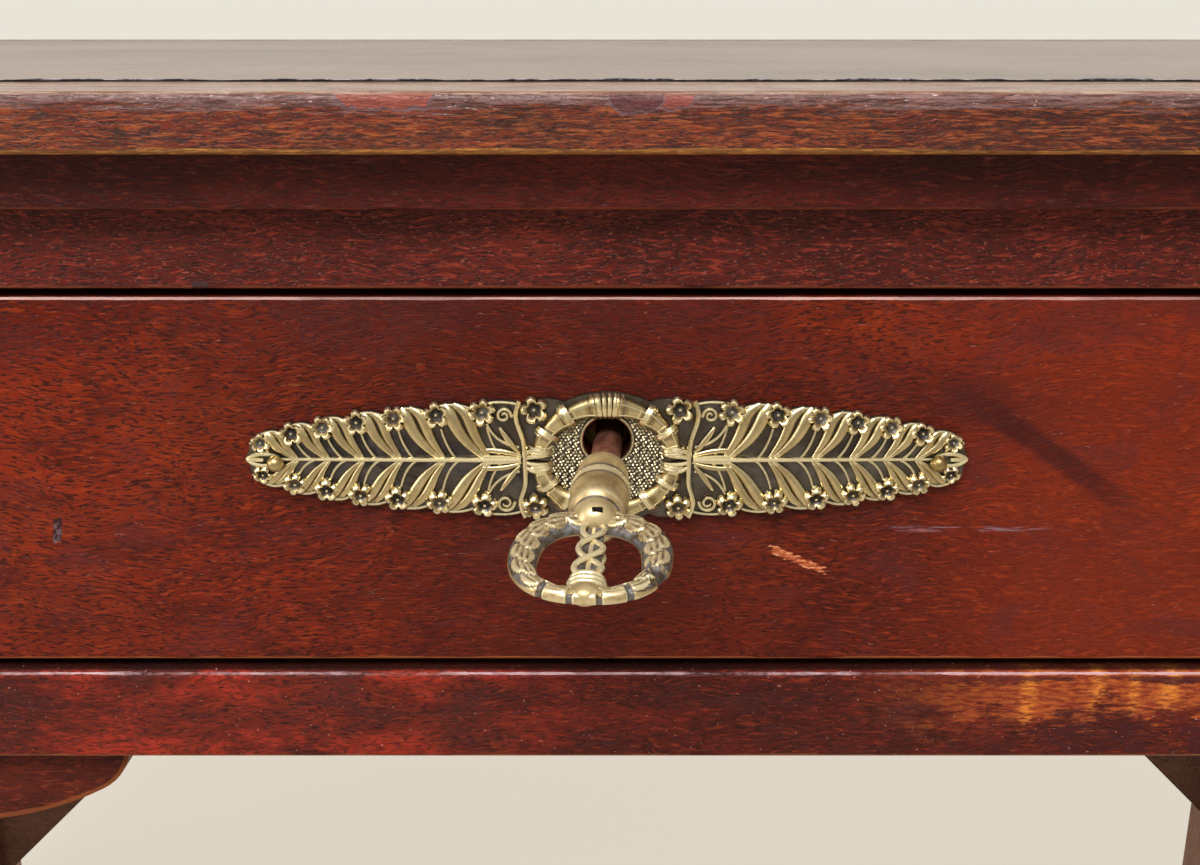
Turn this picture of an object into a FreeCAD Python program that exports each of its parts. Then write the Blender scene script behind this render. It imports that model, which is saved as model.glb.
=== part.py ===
import FreeCAD, Part
import math
import os
import Sketcher
from FreeCAD import Placement, Rotation, Vector

# Bureau plat in mahogany with three frieze drawers.
# X runs to the right, Y to the back and Z up. The floor is at Z = 0, and X = 0 is the middle keyhole.
# The origin is the middle of the floor area under the desk and its key.

SIZES = {
    # Top
    "desk_width": (1166, "width of the top"),
    "desk_depth": (680, "depth of the top"),
    "desk_height": (760, "floor to the top of the border"),
    "top_overhang": (16, "top beyond the frame, all round"),
    "border_width": (45, "border round the writing field"),
    "border_thickness": (13.6, "thickness of the border"),
    "border_round": (2.2, "upper rounding of the border"),
    "border_ease": (1.6, "lower rounding of the border"),
    "moulding_thickness": (13.4, "strip under the border"),
    "moulding_setback": (9, "strip behind the border's edge"),
    "moulding_ease": (1, "rounding of the strip's lower edge"),
    "tongue_length": (8, "tongue of the core in the border"),
    "tongue_thickness": (5, "thickness of that tongue"),
    "tongue_rise": (4, "tongue above the border's underside"),
    "field_thickness": (1.4, "leather of the writing field"),
    "field_drop": (0.2, "field below the border"),
    # Legs and rails
    "leg_size": (60, "square block of a leg"),
    "foot_size": (48, "square foot of a leg"),
    "taper_height": (560, "floor to the start of the block"),
    "upper_rail_height": (20, "height of the upper rail"),
    "rail_depth": (50, "front to back size of both rails"),
    "lower_rail_height": (26, "height of the lower rail"),
    "lower_rail_proud": (2.5, "lower rail in front of the drawers"),
    "lower_rail_round": (3, "upper rounding of the lower rail"),
    "rail_ease": (1.2, "other roundings of the rails"),
    "panel_thickness": (22, "side and back panels"),
    "panel_setback": (3, "panels behind the legs' outer faces"),
    "tenon_length": (25, "tenons in the legs"),
    "tenon_shoulder": (5, "shoulder round a tenon"),
    "divider_thickness": (24, "boards between the drawers"),
    # Strips and blocks inside
    "runner_width": (56, "runner under a divider"),
    "runner_height": (20, "height of runners and kickers"),
    "guide_height": (30, "guide on an outer runner"),
    "stop_length": (30, "drawer stop"),
    "stop_width": (12, "drawer stop, front to back"),
    "stop_height": (5, "drawer stop above the lower rail"),
    "stop_inset": (50, "drawer stop from the drawer's end"),
    "block_size": (18, "legs of a glue block's triangle"),
    "block_length": (45, "length of a glue block"),
    "block_pitch": (170, "distance between glue blocks"),
    # Aprons and stretcher
    "apron_thickness": (20, "shaped aprons"),
    "apron_setback": (4, "aprons behind the drawer fronts"),
    "apron_left_tip": (132, "left apron's tip from the keyhole"),
    "apron_right_tip": (170, "right apron's tip from the keyhole"),
    "nose_length": (50, "length of an apron's rounded nose"),
    "nose_depth": (24.5, "depth of an apron at the nose"),
    "nose_round": (16, "small radius at the nose's tip"),
    "apron_sweep": (127, "length of the curve beside the leg"),
    "apron_leg_depth": (65, "depth of an apron at the leg"),
    "stretcher_thickness": (22, "arched board at the back"),
    "stretcher_top": (250, "floor to its upper edge"),
    "stretcher_crown": (202, "floor to its lower edge, mid"),
    "stretcher_foot": (130, "floor to its lower edge, right leg"),
    "stretcher_skew": (56, "how much lower the left end comes"),
    "stretcher_knee": (30, "radius of its shoulders"),
    "stretcher_inset": (12, "stretcher before the leg's back"),
    # Drawers
    "middle_opening": (430, "opening of the middle drawer"),
    "front_height": (98, "height of a drawer front"),
    "front_thickness": (22, "thickness of a drawer front"),
    "front_ease": (0.8, "rounding of a drawer front's edges"),
    "gap_above": (2, "gap over a drawer front"),
    "gap_below": (2.4, "gap under a drawer front"),
    "gap_beside": (1, "gap at each end of a drawer"),
    "running_gap": (0.3, "gap between a drawer and its runner"),
    "drawer_length": (480, "front to back size of a drawer"),
    "side_thickness": (10, "drawer sides and back"),
    "side_drop": (3, "drawer sides below the front's top"),
    "back_drop": (8, "drawer back below the sides"),
    "bottom_thickness": (7, "drawer bottom"),
    "bottom_rise": (6.5, "bottom above the sides' lower edge"),
    "groove_depth": (4, "grooves for the bottom and back"),
    "tail_length": (16, "length of a dovetail"),
    "tail_root": (17, "width of a dovetail at its root"),
    "tail_end": (23, "width of a dovetail at its end"),
    # Lock
    "keyhole_drop": (36.6, "drawer top to the keyhole"),
    "keyhole_radius": (6.1, "round of the keyhole"),
    "slot_width": (5, "slot of the keyhole"),
    "slot_length": (15, "keyhole's centre to its slot's end"),
    "lock_width": (64, "lock case"),
    "lock_height": (52, "lock case below the drawer top"),
    "lock_depth": (11, "lock case, front to back"),
    "lock_wall": (2, "walls of the lock case"),
    "chamber_width": (30, "hollow of the lock case"),
    "bolt_width": (24, "lock bolt"),
    "bolt_thickness": (5, "lock bolt, front to back"),
    "bolt_inset": (13, "drawer's face to the bolt"),
    "bolt_foot": (7.4, "key axis to the foot of the bolt"),
    "bolt_top_drop": (0.5, "bolt below the drawer top"),
    "bolt_throw": (8, "travel of the bolt"),
    "bolt_clearance": (0.4, "play of the bolt in its slots"),
    "screw_radius": (1.5, "lock screw"),
    "screw_head_radius": (3, "head of a lock screw"),
    "screw_length": (8, "lock screw under its head"),
    "screw_inset": (5.5, "lock screw from the case's edges"),
    "hole_play": (0.1, "play of pins and screws in their holes"),
    # Key
    "key_drop": (1.9, "key axis below the keyhole's centre"),
    "shank_radius": (3.65, "shank of the key"),
    "shank_length": (18, "shank before the drawer front"),
    "tail_reach": (19, "shank behind the drawer's face"),
    "pipe_play": (0.08, "play of the hollow shank on its pin"),
    "lock_pin_radius": (1.5, "pin of the lock"),
    "lock_pin_length": (13, "length of that pin"),
    "bit_reach": (9.6, "key axis to the end of the bit"),
    "bit_length": (6, "bit along the shank"),
    "bit_thickness": (2.4, "thickness of the bit"),
    "collar_radius": (6.95, "brass collar of the key"),
    "collar_rear_radius": (6, "collar where it meets the shank"),
    "collar_neck_radius": (5.2, "collar where it meets the bow"),
    "collar_length": (17, "length of the collar"),
    "bow_width": (36, "width of the bow"),
    "bow_length": (33.5, "bow along the key"),
    "bow_round": (12.5, "side radius of the bow's oval"),
    "bow_band": (6.3, "width of the bow's ring at its sides"),
    "bow_end_band": (3.9, "width of the ring at the end of the key"),
    "bow_thickness": (3.2, "thickness of the bow's ring"),
    "bow_bar_root": (6, "width of the bar across the bow at the collar"),
    "bow_bar_end": (7.4, "width of that bar at the end of the key"),
    "bow_bar_thickness": (3, "thickness of that bar"),
    "bow_bead_radius": (3, "beads at the bow's end"),
    # Keyhole plate
    "plate_half_length": (90.6, "half length of the keyhole plate"),
    "plate_half_height": (17, "half height of its ellipse"),
    "plate_thickness": (1.3, "ground of the keyhole plate"),
    "plate_scallop": (6.2, "radius of a scallop of its edge"),
    "crown_scallop": (18.6, "radius of the edge over the ring"),
    "tip_width": (3, "blunt tip of the plate"),
    "plate_drop": (5.1, "plate's centre below the keyhole"),
    "ring_half_width": (19.85, "ring in the middle of the plate"),
    "ring_half_height": (17.2, "half height of that ring"),
    "ring_round": (15.6, "side radius of the ring's oval"),
    "ring_band": (5.6, "width of the ring"),
    "ring_relief": (2.4, "ring above the ground"),
    "leaf_relief": (0.9, "leaves above the ground"),
    "leaf_width": (3.4, "width of a leaf"),
    "leaf_pitch": (7.6, "distance between leaves"),
    "leaf_lean": (9, "lean of a leaf towards the wing's tip"),
    "leaf_margin": (4.2, "leaf's tip from the plate's edge"),
    "flower_radius": (2.7, "flowers along the edge"),
    "flower_relief": (1.6, "flowers above the ground"),
    "flower_margin": (3.1, "flower's centre from the plate's edge"),
    "spine_width": (1.8, "spine of a wing"),
    "spine_relief": (1.5, "spine above the ground"),
    "plate_pin_place": (83, "pin from the plate's centre"),
    "plate_pin_radius": (0.8, "shaft of a plate pin"),
    "plate_pin_head": (2.1, "head of a plate pin"),
    "plate_pin_length": (8, "plate pin in the wood"),
    # Cutting
    "overrun": (2, "how far a cutting shape passes a face"),
}

KEY_DROOP = 8.3
KEY_YAW = 4.3

EDGE_FALL_SHARE = 0.96
SCALLOPED_SHARE = 0.97
LEAN_LOSS_SHARE = 0.5

SCALLOP_COUNT = 9
LEAF_COUNT = 8
FLOWER_COUNT = 8
TAIL_COUNT = 3
BLOCK_COUNT = 3

doc = FreeCAD.newDocument("bureau_plat")
sheet = doc.addObject("Spreadsheet::Sheet", "Sizes")


class Length:
    """A size or place in millimetres that knows its formula in the sheet's names."""

    def __init__(self, number, formula):
        self.number = number
        self.formula = formula

    def __add__(self, other):
        other = as_length(other)
        return Length(self.number + other.number, f"({self.formula} + {other.formula})")

    def __sub__(self, other):
        other = as_length(other)
        return Length(self.number - other.number, f"({self.formula} - {other.formula})")

    def __mul__(self, factor):
        factor = as_length(factor)
        return Length(self.number * factor.number, f"({self.formula} * {factor.formula})")

    def __truediv__(self, divisor):
        divisor = as_length(divisor)
        return Length(self.number / divisor.number, f"({self.formula} / {divisor.formula})")

    def __neg__(self):
        return self * -1

    def root(self):
        return Length(math.sqrt(self.number), f"sqrt({self.formula})")


def as_length(value):
    """A plain count, share or zero as a Length."""
    if isinstance(value, Length):
        return value
    return Length(float(value), f"({float(value)!r})")


class Sizes:
    """The sheet's cells, each under its alias."""


size = Sizes()
for row, (alias, (number, meaning)) in enumerate(SIZES.items(), start=1):
    sheet.set(f"A{row}", meaning)
    sheet.set(f"B{row}", str(number))
    sheet.setAlias(f"B{row}", alias)
    setattr(size, alias, Length(float(number), f"Sizes.{alias}"))
doc.recompute()

zero = as_length(0)
sub_parts = []


def ordered(one, other):
    """Two places, the lower one first."""
    one, other = as_length(one), as_length(other)
    if one.number <= other.number:
        return one, other
    return other, one


def seat(thing, x, y, z):
    """Bind the place of a piece to the sheet."""
    for axis, distance in zip("xyz", (x, y, z)):
        thing.setExpression(f"Placement.Base.{axis}", as_length(distance).formula)
    return thing


def board(x_span, y_span, z_span):
    """A plain board between two places along each axis."""
    piece = doc.addObject("Part::Box", "board")
    corner = []
    for name, span in zip(("Length", "Width", "Height"), (x_span, y_span, z_span)):
        low, high = ordered(*span)
        piece.setExpression(name, (high - low).formula)
        corner.append(low)
    return seat(piece, *corner)


def rod(radius, length, axis, start):
    """A round rod from a start point along an axis."""
    piece = doc.addObject("Part::Cylinder", "rod")
    piece.setExpression("Radius", radius.formula)
    piece.setExpression("Height", length.formula)
    piece.Placement = Placement(Vector(0, 0, 0), Rotation(Vector(0, 0, 1), Vector(*axis)))
    return seat(piece, *start)


def ball(radius, centre):
    """A round bead."""
    piece = doc.addObject("Part::Sphere", "bead")
    piece.setExpression("Radius", radius.formula)
    return seat(piece, *centre)


def cone(start_radius, end_radius, length, axis, start):
    """A taper along an axis."""
    piece = doc.addObject("Part::Cone", "taper")
    piece.setExpression("Radius1", start_radius.formula)
    piece.setExpression("Radius2", end_radius.formula)
    piece.setExpression("Height", length.formula)
    piece.Placement = Placement(Vector(0, 0, 0), Rotation(Vector(0, 0, 1), Vector(*axis)))
    return seat(piece, *start)


def joined(*pieces):
    """Pieces glued into one solid."""
    whole = doc.addObject("Part::MultiFuse", "joined")
    whole.Shapes = list(pieces)
    whole.Refine = True
    return whole


def grouped(pieces):
    """Separate solids that share one name."""
    group = doc.addObject("Part::Compound", "group")
    group.Links = list(pieces)
    return group


def cut(base, *tools):
    """A piece with the given shapes cut out of it."""
    tool = tools[0]
    if len(tools) > 1:
        tool = doc.addObject("Part::MultiFuse", "cutters")
        tool.Shapes = list(tools)
    result = doc.addObject("Part::Cut", "cut")
    result.Base = base
    result.Tool = tool
    return result


def common(one, other):
    """What two shapes share."""
    result = doc.addObject("Part::Common", "common")
    result.Base = one
    result.Tool = other
    return result


def sub_part(label, piece):
    """Name a finished sub-part."""
    piece.Label = label
    sub_parts.append(piece)
    return piece


def edge_between(start, end, radius):
    """A straight edge, or an arc that turns left with a positive radius and right with a negative one."""
    if radius is None:
        return Part.LineSegment(start, end)
    chord = end - start
    left = Vector(-chord.y, chord.x, 0).normalize()
    reach = math.sqrt(radius * radius - chord.Length * chord.Length / 4)
    centre = (start + end) * 0.5 + left * math.copysign(reach, radius)
    first, last = (start, end) if radius > 0 else (end, start)
    first_angle = math.atan2(first.y - centre.y, first.x - centre.x)
    last_angle = math.atan2(last.y - centre.y, last.x - centre.x)
    if last_angle < first_angle:
        last_angle += 2 * math.pi
    circle = Part.Circle(centre, Vector(0, 0, 1), abs(radius))
    return Part.ArcOfCircle(circle, first_angle, last_angle)


def outline_sketch(body, role, corners, rise=zero):
    """A closed outline whose corners and radii are bound to the sheet."""
    sketch = body.newObject("Sketcher::SketchObject", "outline")
    plane = next(f for f in body.Origin.OriginFeatures if f.Role == role)
    sketch.AttachmentSupport = [(plane, "")]
    sketch.MapMode = "FlatFace"
    if rise is not zero:
        sketch.setExpression("AttachmentOffset.Base.z", rise.formula)
    points = [Vector(as_length(c[0]).number, as_length(c[1]).number, 0) for c in corners]
    radii = [c[2] if len(c) > 2 else None for c in corners]
    for index, radius in enumerate(radii):
        turn = None if radius is None else radius.number
        sketch.addGeometry(edge_between(points[index - 1], points[index], turn), False)
    turns_right = [radius is not None and radius.number < 0 for radius in radii]
    for index, corner in enumerate(corners):
        end = 1 if turns_right[index] else 2
        following = (index + 1) % len(corners)
        next_start = 2 if turns_right[following] else 1
        sketch.addConstraint(Sketcher.Constraint("Coincident", index, end, following, next_start))
        for kind, distance in zip(("DistanceX", "DistanceY"), corner):
            distance = as_length(distance)
            place = Sketcher.Constraint(kind, -1, 1, index, end, distance.number)
            number = sketch.addConstraint(place)
            sketch.setExpression(f"Constraints[{number}]", distance.formula)
        if radii[index] is not None:
            radius = radii[index] if radii[index].number > 0 else -radii[index]
            number = sketch.addConstraint(Sketcher.Constraint("Radius", index, radius.number))
            sketch.setExpression(f"Constraints[{number}]", radius.formula)
    return sketch


def new_body(x, y, z):
    """An empty body at a place."""
    return seat(doc.addObject("PartDesign::Body", "body"), x, y, z)


def pad(body, sketch, thickness):
    """Raise a sketch to a thickness."""
    raised = body.newObject("PartDesign::Pad", "pad")
    raised.Profile = sketch
    raised.setExpression("Length", thickness.formula)
    return raised


def prism_along_x(x_span, corners):
    """An outline in Y and Z, drawn out along X."""
    low, high = ordered(*x_span)
    body = new_body(low, 0, 0)
    pad(body, outline_sketch(body, "YZ_Plane", corners), high - low)
    return body


def prism_along_y(y_span, corners):
    """An outline in X and Z, drawn out along Y."""
    low, high = ordered(*y_span)
    body = new_body(0, high, 0)
    pad(body, outline_sketch(body, "XZ_Plane", corners), high - low)
    return body


def prism_along_z(z_span, corners):
    """An outline in X and Y, drawn out along Z."""
    low, high = ordered(*z_span)
    body = new_body(0, 0, low)
    pad(body, outline_sketch(body, "XY_Plane", corners), high - low)
    return body


def eased_section(u_span, v_span, lower_first=None, lower_second=None, upper_second=None, upper_first=None):
    """A rectangle with some corners rounded, named by the end of each span that they are at."""
    (u_first, u_second), (v_low, v_high) = u_span, v_span
    mirrored = as_length(u_first).number > as_length(u_second).number
    sense = -1 if mirrored else 1
    corners = []
    walk = [
        (u_first, v_low, lower_first, 0, 1, sense, 0),
        (u_second, v_low, lower_second, -sense, 0, 0, 1),
        (u_second, v_high, upper_second, 0, -1, -sense, 0),
        (u_first, v_high, upper_first, sense, 0, 0, -1),
    ]
    for u, v, radius, before_u, before_v, after_u, after_v in walk:
        if radius is None:
            corners.append((u, v))
            continue
        corners.append((radius * before_u + u, radius * before_v + v))
        corners.append((radius * after_u + u, radius * after_v + v, radius * sense))
    return corners


def oval(half_width, half_height, side_radius, centre_x=zero, centre_y=zero):
    """A four-centred oval: tight arcs at its sides, wide ones above and below."""
    wide = half_width * half_width + half_height * half_height - half_width * side_radius * 2
    wide_radius = wide / ((half_height - side_radius) * 2)
    span = wide_radius - side_radius
    meet_x = (half_width - side_radius) * wide_radius / span
    meet_y = side_radius * (wide_radius - half_height) / span
    right, left = centre_x + meet_x, centre_x - meet_x
    top, bottom = centre_y + meet_y, centre_y - meet_y
    return [
        (right, bottom, wide_radius),
        (right, top, side_radius),
        (left, top, wide_radius),
        (left, bottom, side_radius),
    ]


# Levels, from the top down
top_level = size.desk_height
border_bottom = top_level - size.border_thickness
frame_top = border_bottom - size.moulding_thickness
opening_top = frame_top - size.upper_rail_height
front_top = opening_top - size.gap_above
front_bottom = front_top - size.front_height
opening_bottom = front_bottom - size.gap_below
frieze_bottom = opening_bottom - size.lower_rail_height

# Places across the desk: everything is the same at both sides
half_top = size.desk_width / 2
half_frame = half_top - size.top_overhang
leg_inside = half_frame - size.leg_size
divider_inside = size.middle_opening / 2
divider_outside = divider_inside + size.divider_thickness

# Places from front to back, with the key's tip and the top's back edge as far from the origin
key_cosine = math.cos(math.radians(KEY_DROOP)) * math.cos(math.radians(KEY_YAW))
key_reach = (size.shank_length + size.collar_length + size.bow_length) * key_cosine
front_plane = (key_reach + size.top_overhang - size.desk_depth) / 2
top_front = front_plane - size.top_overhang
top_back = top_front + size.desk_depth
frame_back = top_back - size.top_overhang
panel_back = frame_back - size.panel_setback
panel_front = panel_back - size.panel_thickness
front_leg_back = front_plane + size.leg_size
back_leg_front = frame_back - size.leg_size
rail_back = front_plane + size.rail_depth


# Top: a core with a leather field, framed by mitred borders that are tongued to it

core_x = half_top - size.border_width
core_front = top_front + size.border_width
core_back = top_back - size.border_width
field_bottom = top_level - size.field_drop - size.field_thickness
tongue_bottom = border_bottom + size.tongue_rise
tongue_top = tongue_bottom + size.tongue_thickness


def core_tongue():
    """The tongue that runs all round the core."""
    return board(
        (-core_x - size.tongue_length, core_x + size.tongue_length),
        (core_front - size.tongue_length, core_back + size.tongue_length),
        (tongue_bottom, tongue_top),
    )


core_board = board((-core_x, core_x), (core_front, core_back), (frame_top, field_bottom))
sub_part("top_core", joined(core_board, core_tongue()))
field_top = top_level - size.field_drop
sub_part("writing_field", board((-core_x, core_x), (core_front, core_back), (field_bottom, field_top)))


def mitred(section, outer_x, outer_front, outer_back, z_span, side):
    """A length of section cut to its quarter of a mitred frame round the core."""
    low, high = z_span
    outer = [(-outer_x, outer_front), (outer_x, outer_front), (outer_x, outer_back), (-outer_x, outer_back)]
    inner = [(-core_x, core_front), (core_x, core_front), (core_x, core_back), (-core_x, core_back)]
    first = ("front", "right", "back", "left").index(side)
    second = (first + 1) % len(outer)
    quarter = [outer[first], outer[second], inner[second], inner[first]]
    return common(section, prism_along_z((low - size.overrun, high + size.overrun), quarter))


def frame_sections(outer_x, outer_front, outer_back, z_span, lower, upper):
    """The four lengths round the core before they are mitred, with their outer edges rounded."""
    across = (-outer_x, outer_x)
    along = (outer_front, outer_back)
    rounds = {"lower_first": lower, "upper_first": upper}
    return {
        "front": prism_along_x(across, eased_section((outer_front, core_front), z_span, **rounds)),
        "back": prism_along_x(across, eased_section((outer_back, core_back), z_span, **rounds)),
        "left": prism_along_y(along, eased_section((-outer_x, -core_x), z_span, **rounds)),
        "right": prism_along_y(along, eased_section((outer_x, core_x), z_span, **rounds)),
    }


border_z = (border_bottom, top_level)
borders = frame_sections(half_top, top_front, top_back, border_z, size.border_ease, size.border_round)
for side, section in borders.items():
    piece = mitred(section, half_top, top_front, top_back, border_z, side)
    sub_part(f"border_{side}", cut(piece, core_tongue()))

moulding_x = half_top - size.moulding_setback
moulding_front = top_front + size.moulding_setback
moulding_back = top_back - size.moulding_setback
moulding_z = (frame_top, border_bottom)
mouldings = frame_sections(moulding_x, moulding_front, moulding_back, moulding_z, size.moulding_ease, None)
for side, section in mouldings.items():
    mitre = mitred(section, moulding_x, moulding_front, moulding_back, moulding_z, side)
    sub_part(f"moulding_{side}", mitre)


# Tenons of the rails and panels, kept as boards so that the legs get the same mortises

tenon_inset = size.tenon_shoulder
upper_tenon_z = (opening_top + tenon_inset, frame_top - tenon_inset)
lower_tenon_z = (frieze_bottom + tenon_inset, opening_bottom - tenon_inset)
panel_tenon_z = (frieze_bottom + tenon_inset, frame_top - tenon_inset)
rail_tenon_y = (front_plane + tenon_inset * 2, rail_back - tenon_inset * 2)
panel_outside = half_frame - size.panel_setback
panel_inside = panel_outside - size.panel_thickness
panel_tenon_x = (panel_inside + tenon_inset, panel_outside - tenon_inset)
back_tenon_y = (panel_front + tenon_inset, panel_back - tenon_inset)


def rail_tenon(sign, z_span):
    """The tenon at one end of a front rail."""
    return board((leg_inside * sign, (leg_inside + size.tenon_length) * sign), rail_tenon_y, z_span)


def back_tenon(sign):
    """The tenon at one end of the back panel."""
    return board((leg_inside * sign, (leg_inside + size.tenon_length) * sign), back_tenon_y, panel_tenon_z)


def side_tenon(sign, y_start, y_end):
    """The tenon at one end of a side panel."""
    return board((panel_tenon_x[0] * sign, panel_tenon_x[1] * sign), (y_start, y_end), panel_tenon_z)


# Rear stretcher: a low board between the back legs with an arched lower edge

stretcher_back = frame_back - size.stretcher_inset
stretcher_y = (stretcher_back - size.stretcher_thickness, stretcher_back)
diagonal_share = math.sqrt(0.5)
knee_run = size.stretcher_knee * diagonal_share
knee_drop = size.stretcher_knee * (1 - diagonal_share)
slope_drop = size.stretcher_crown - size.stretcher_foot - knee_drop
slope_end = leg_inside + (size.leg_size - size.foot_size) / 2
knee_end = slope_end - slope_drop
knee_start = knee_end - knee_run
stretcher_end = leg_inside + size.tenon_length


def stretcher_board():
    """The stretcher with its ends let into the legs. Its arch stands a little to the right."""
    knee_low = size.stretcher_crown - knee_drop
    left_foot = size.stretcher_foot - size.stretcher_skew
    corners = [
        (-stretcher_end, size.stretcher_top),
        (-stretcher_end, left_foot),
        (-slope_end, left_foot),
        (size.stretcher_skew - knee_end, knee_low),
        (size.stretcher_skew - knee_start, size.stretcher_crown, -size.stretcher_knee),
        (knee_start, size.stretcher_crown),
        (knee_end, knee_low, -size.stretcher_knee),
        (slope_end, size.stretcher_foot),
        (stretcher_end, size.stretcher_foot),
        (stretcher_end, size.stretcher_top),
    ]
    return prism_along_y(stretcher_y, corners)


sub_part("rear_stretcher", stretcher_board())


# Legs: a square block at the frieze over a shaft that tapers on its two inner faces

def square_corners(x_outer, y_outer, side_length, sign_x, sign_y):
    """A square with one corner at the desk's outer corner."""
    x_inner = x_outer - side_length * sign_x
    y_inner = y_outer - side_length * sign_y
    corners = [(x_outer, y_outer), (x_inner, y_outer), (x_inner, y_inner), (x_outer, y_inner)]
    return corners if sign_x * sign_y > 0 else corners[::-1]


def leg(sign_x, sign_y):
    """One leg with the mortises for what meets it."""
    x_outer = half_frame * sign_x
    y_outer = frame_back if sign_y > 0 else front_plane
    body = new_body(0, 0, 0)
    foot = outline_sketch(body, "XY_Plane", square_corners(x_outer, y_outer, size.foot_size, sign_x, sign_y))
    block_corners = square_corners(x_outer, y_outer, size.leg_size, sign_x, sign_y)
    shoulder = outline_sketch(body, "XY_Plane", block_corners, size.taper_height)
    shaft = body.newObject("PartDesign::AdditiveLoft", "shaft")
    shaft.Profile = foot
    shaft.Sections = [shoulder]
    shaft.Ruled = True
    block = outline_sketch(body, "XY_Plane", block_corners, size.taper_height)
    pad(body, block, frame_top - size.taper_height)
    if sign_y < 0:
        mortises = [rail_tenon(sign_x, upper_tenon_z), rail_tenon(sign_x, lower_tenon_z)]
        mortises.append(side_tenon(sign_x, front_leg_back - size.tenon_length, front_leg_back))
    else:
        mortises = [back_tenon(sign_x), stretcher_board()]
        mortises.append(side_tenon(sign_x, back_leg_front, back_leg_front + size.tenon_length))
    return cut(body, *mortises)


sub_part("leg_front_left", leg(-1, -1))
sub_part("leg_front_right", leg(1, -1))
sub_part("leg_back_left", leg(-1, 1))
sub_part("leg_back_right", leg(1, 1))


# Front rails, side panels and back panel, tenoned into the legs

bolt_y = (front_plane + size.bolt_inset, front_plane + size.bolt_inset + size.bolt_thickness)
side_opening_middle = (divider_outside + leg_inside) / 2
drawer_middles = {"left": -side_opening_middle, "centre": zero, "right": side_opening_middle}


def rail_mortise(middle):
    """The mortise in the upper rail that a bolt rises into."""
    play = size.bolt_clearance * 2
    return board(
        (middle - size.bolt_width / 2 - play, middle + size.bolt_width / 2 + play),
        (bolt_y[0] - play, bolt_y[1] + play),
        (opening_top - size.overrun, opening_top + size.bolt_throw),
    )


upper_section = eased_section((front_plane, rail_back), (opening_top, frame_top), lower_first=size.rail_ease)
upper_rail = joined(
    prism_along_x((-leg_inside, leg_inside), upper_section),
    rail_tenon(-1, upper_tenon_z),
    rail_tenon(1, upper_tenon_z),
)
sub_part("upper_rail", cut(upper_rail, *[rail_mortise(middle) for middle in drawer_middles.values()]))

lower_front = front_plane - size.lower_rail_proud
lower_section = eased_section(
    (lower_front, rail_back),
    (frieze_bottom, opening_bottom),
    lower_first=size.rail_ease,
    upper_first=size.lower_rail_round,
)
lower_rail = joined(
    prism_along_x((-leg_inside, leg_inside), lower_section),
    rail_tenon(-1, lower_tenon_z),
    rail_tenon(1, lower_tenon_z),
)
sub_part("lower_rail", lower_rail)

for side, sign in (("left", -1), ("right", 1)):
    panel = board(
        (panel_inside * sign, panel_outside * sign),
        (front_leg_back, back_leg_front),
        (frieze_bottom, frame_top),
    )
    front_tenon = side_tenon(sign, front_leg_back - size.tenon_length, front_leg_back)
    rear_tenon = side_tenon(sign, back_leg_front, back_leg_front + size.tenon_length)
    sub_part(f"side_panel_{side}", joined(panel, front_tenon, rear_tenon))

back_board = board((-leg_inside, leg_inside), (panel_front, panel_back), (frieze_bottom, frame_top))
sub_part("back_panel", joined(back_board, back_tenon(-1), back_tenon(1)))


# Dividers stand on the lower rail and the runners, and carry the upper rail and the kickers

for side, sign in (("left", -1), ("right", 1)):
    upright = board(
        (divider_inside * sign, divider_outside * sign),
        (front_plane, panel_front),
        (opening_bottom, opening_top),
    )
    sub_part(f"divider_{side}", upright)


# Runners under the drawer sides and kickers over them, from the rails to the back panel

strip_y = (rail_back, panel_front)
inner_strip = (divider_inside + divider_outside - size.runner_width) / 2
outer_strip = leg_inside - size.side_thickness * 2


def outer_runner(sign):
    """A runner beside a side panel, rebated so that it also guides the drawer's outer side."""
    base = board(
        (outer_strip * sign, leg_inside * sign),
        strip_y,
        (opening_bottom - size.runner_height, opening_bottom),
    )
    guide_z = (opening_bottom - size.runner_height, opening_bottom + size.guide_height)
    guide_y = (front_leg_back, back_leg_front)
    return joined(base, board((leg_inside * sign, panel_inside * sign), guide_y, guide_z))


def divider_strip(sign, z_span):
    """A strip under or over a divider."""
    return board((inner_strip * sign, (inner_strip + size.runner_width) * sign), strip_y, z_span)


runner_z = (opening_bottom - size.runner_height, opening_bottom)
kicker_z = (opening_top, opening_top + size.runner_height)
runners = [outer_runner(-1), divider_strip(-1, runner_z), divider_strip(1, runner_z), outer_runner(1)]
sub_part("drawer_runners", grouped(runners))
kickers = [divider_strip(-1, kicker_z), divider_strip(1, kicker_z)]
for sign in (-1, 1):
    kickers.append(board((outer_strip * sign, leg_inside * sign), strip_y, kicker_z))
sub_part("drawer_kickers", grouped(kickers))


# Stops on the lower rail, just behind the closed drawer fronts

side_half_opening = (leg_inside - divider_outside) / 2
half_openings = {"left": side_half_opening, "centre": divider_inside, "right": side_half_opening}
stop_front = front_plane + size.front_thickness + size.running_gap
stops = []
for name, middle in drawer_middles.items():
    for sign in (-1, 1):
        outer = half_openings[name] - size.stop_inset
        stop_x = (middle + outer * sign, middle + (outer - size.stop_length) * sign)
        stop_z = (opening_bottom, opening_bottom + size.stop_height)
        stops.append(board(stop_x, (stop_front, stop_front + size.stop_width), stop_z))
sub_part("drawer_stops", grouped(stops))


# Triangular glue blocks in the corner between the side panels and the top

def glue_block(sign, y_middle):
    """One block, glued to a side panel and to the underside of the top."""
    corners = [
        (panel_inside * sign, frame_top),
        (panel_inside * sign, frame_top - size.block_size),
        ((panel_inside - size.block_size) * sign, frame_top),
    ]
    return prism_along_y((y_middle - size.block_length / 2, y_middle + size.block_length / 2), corners)


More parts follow.
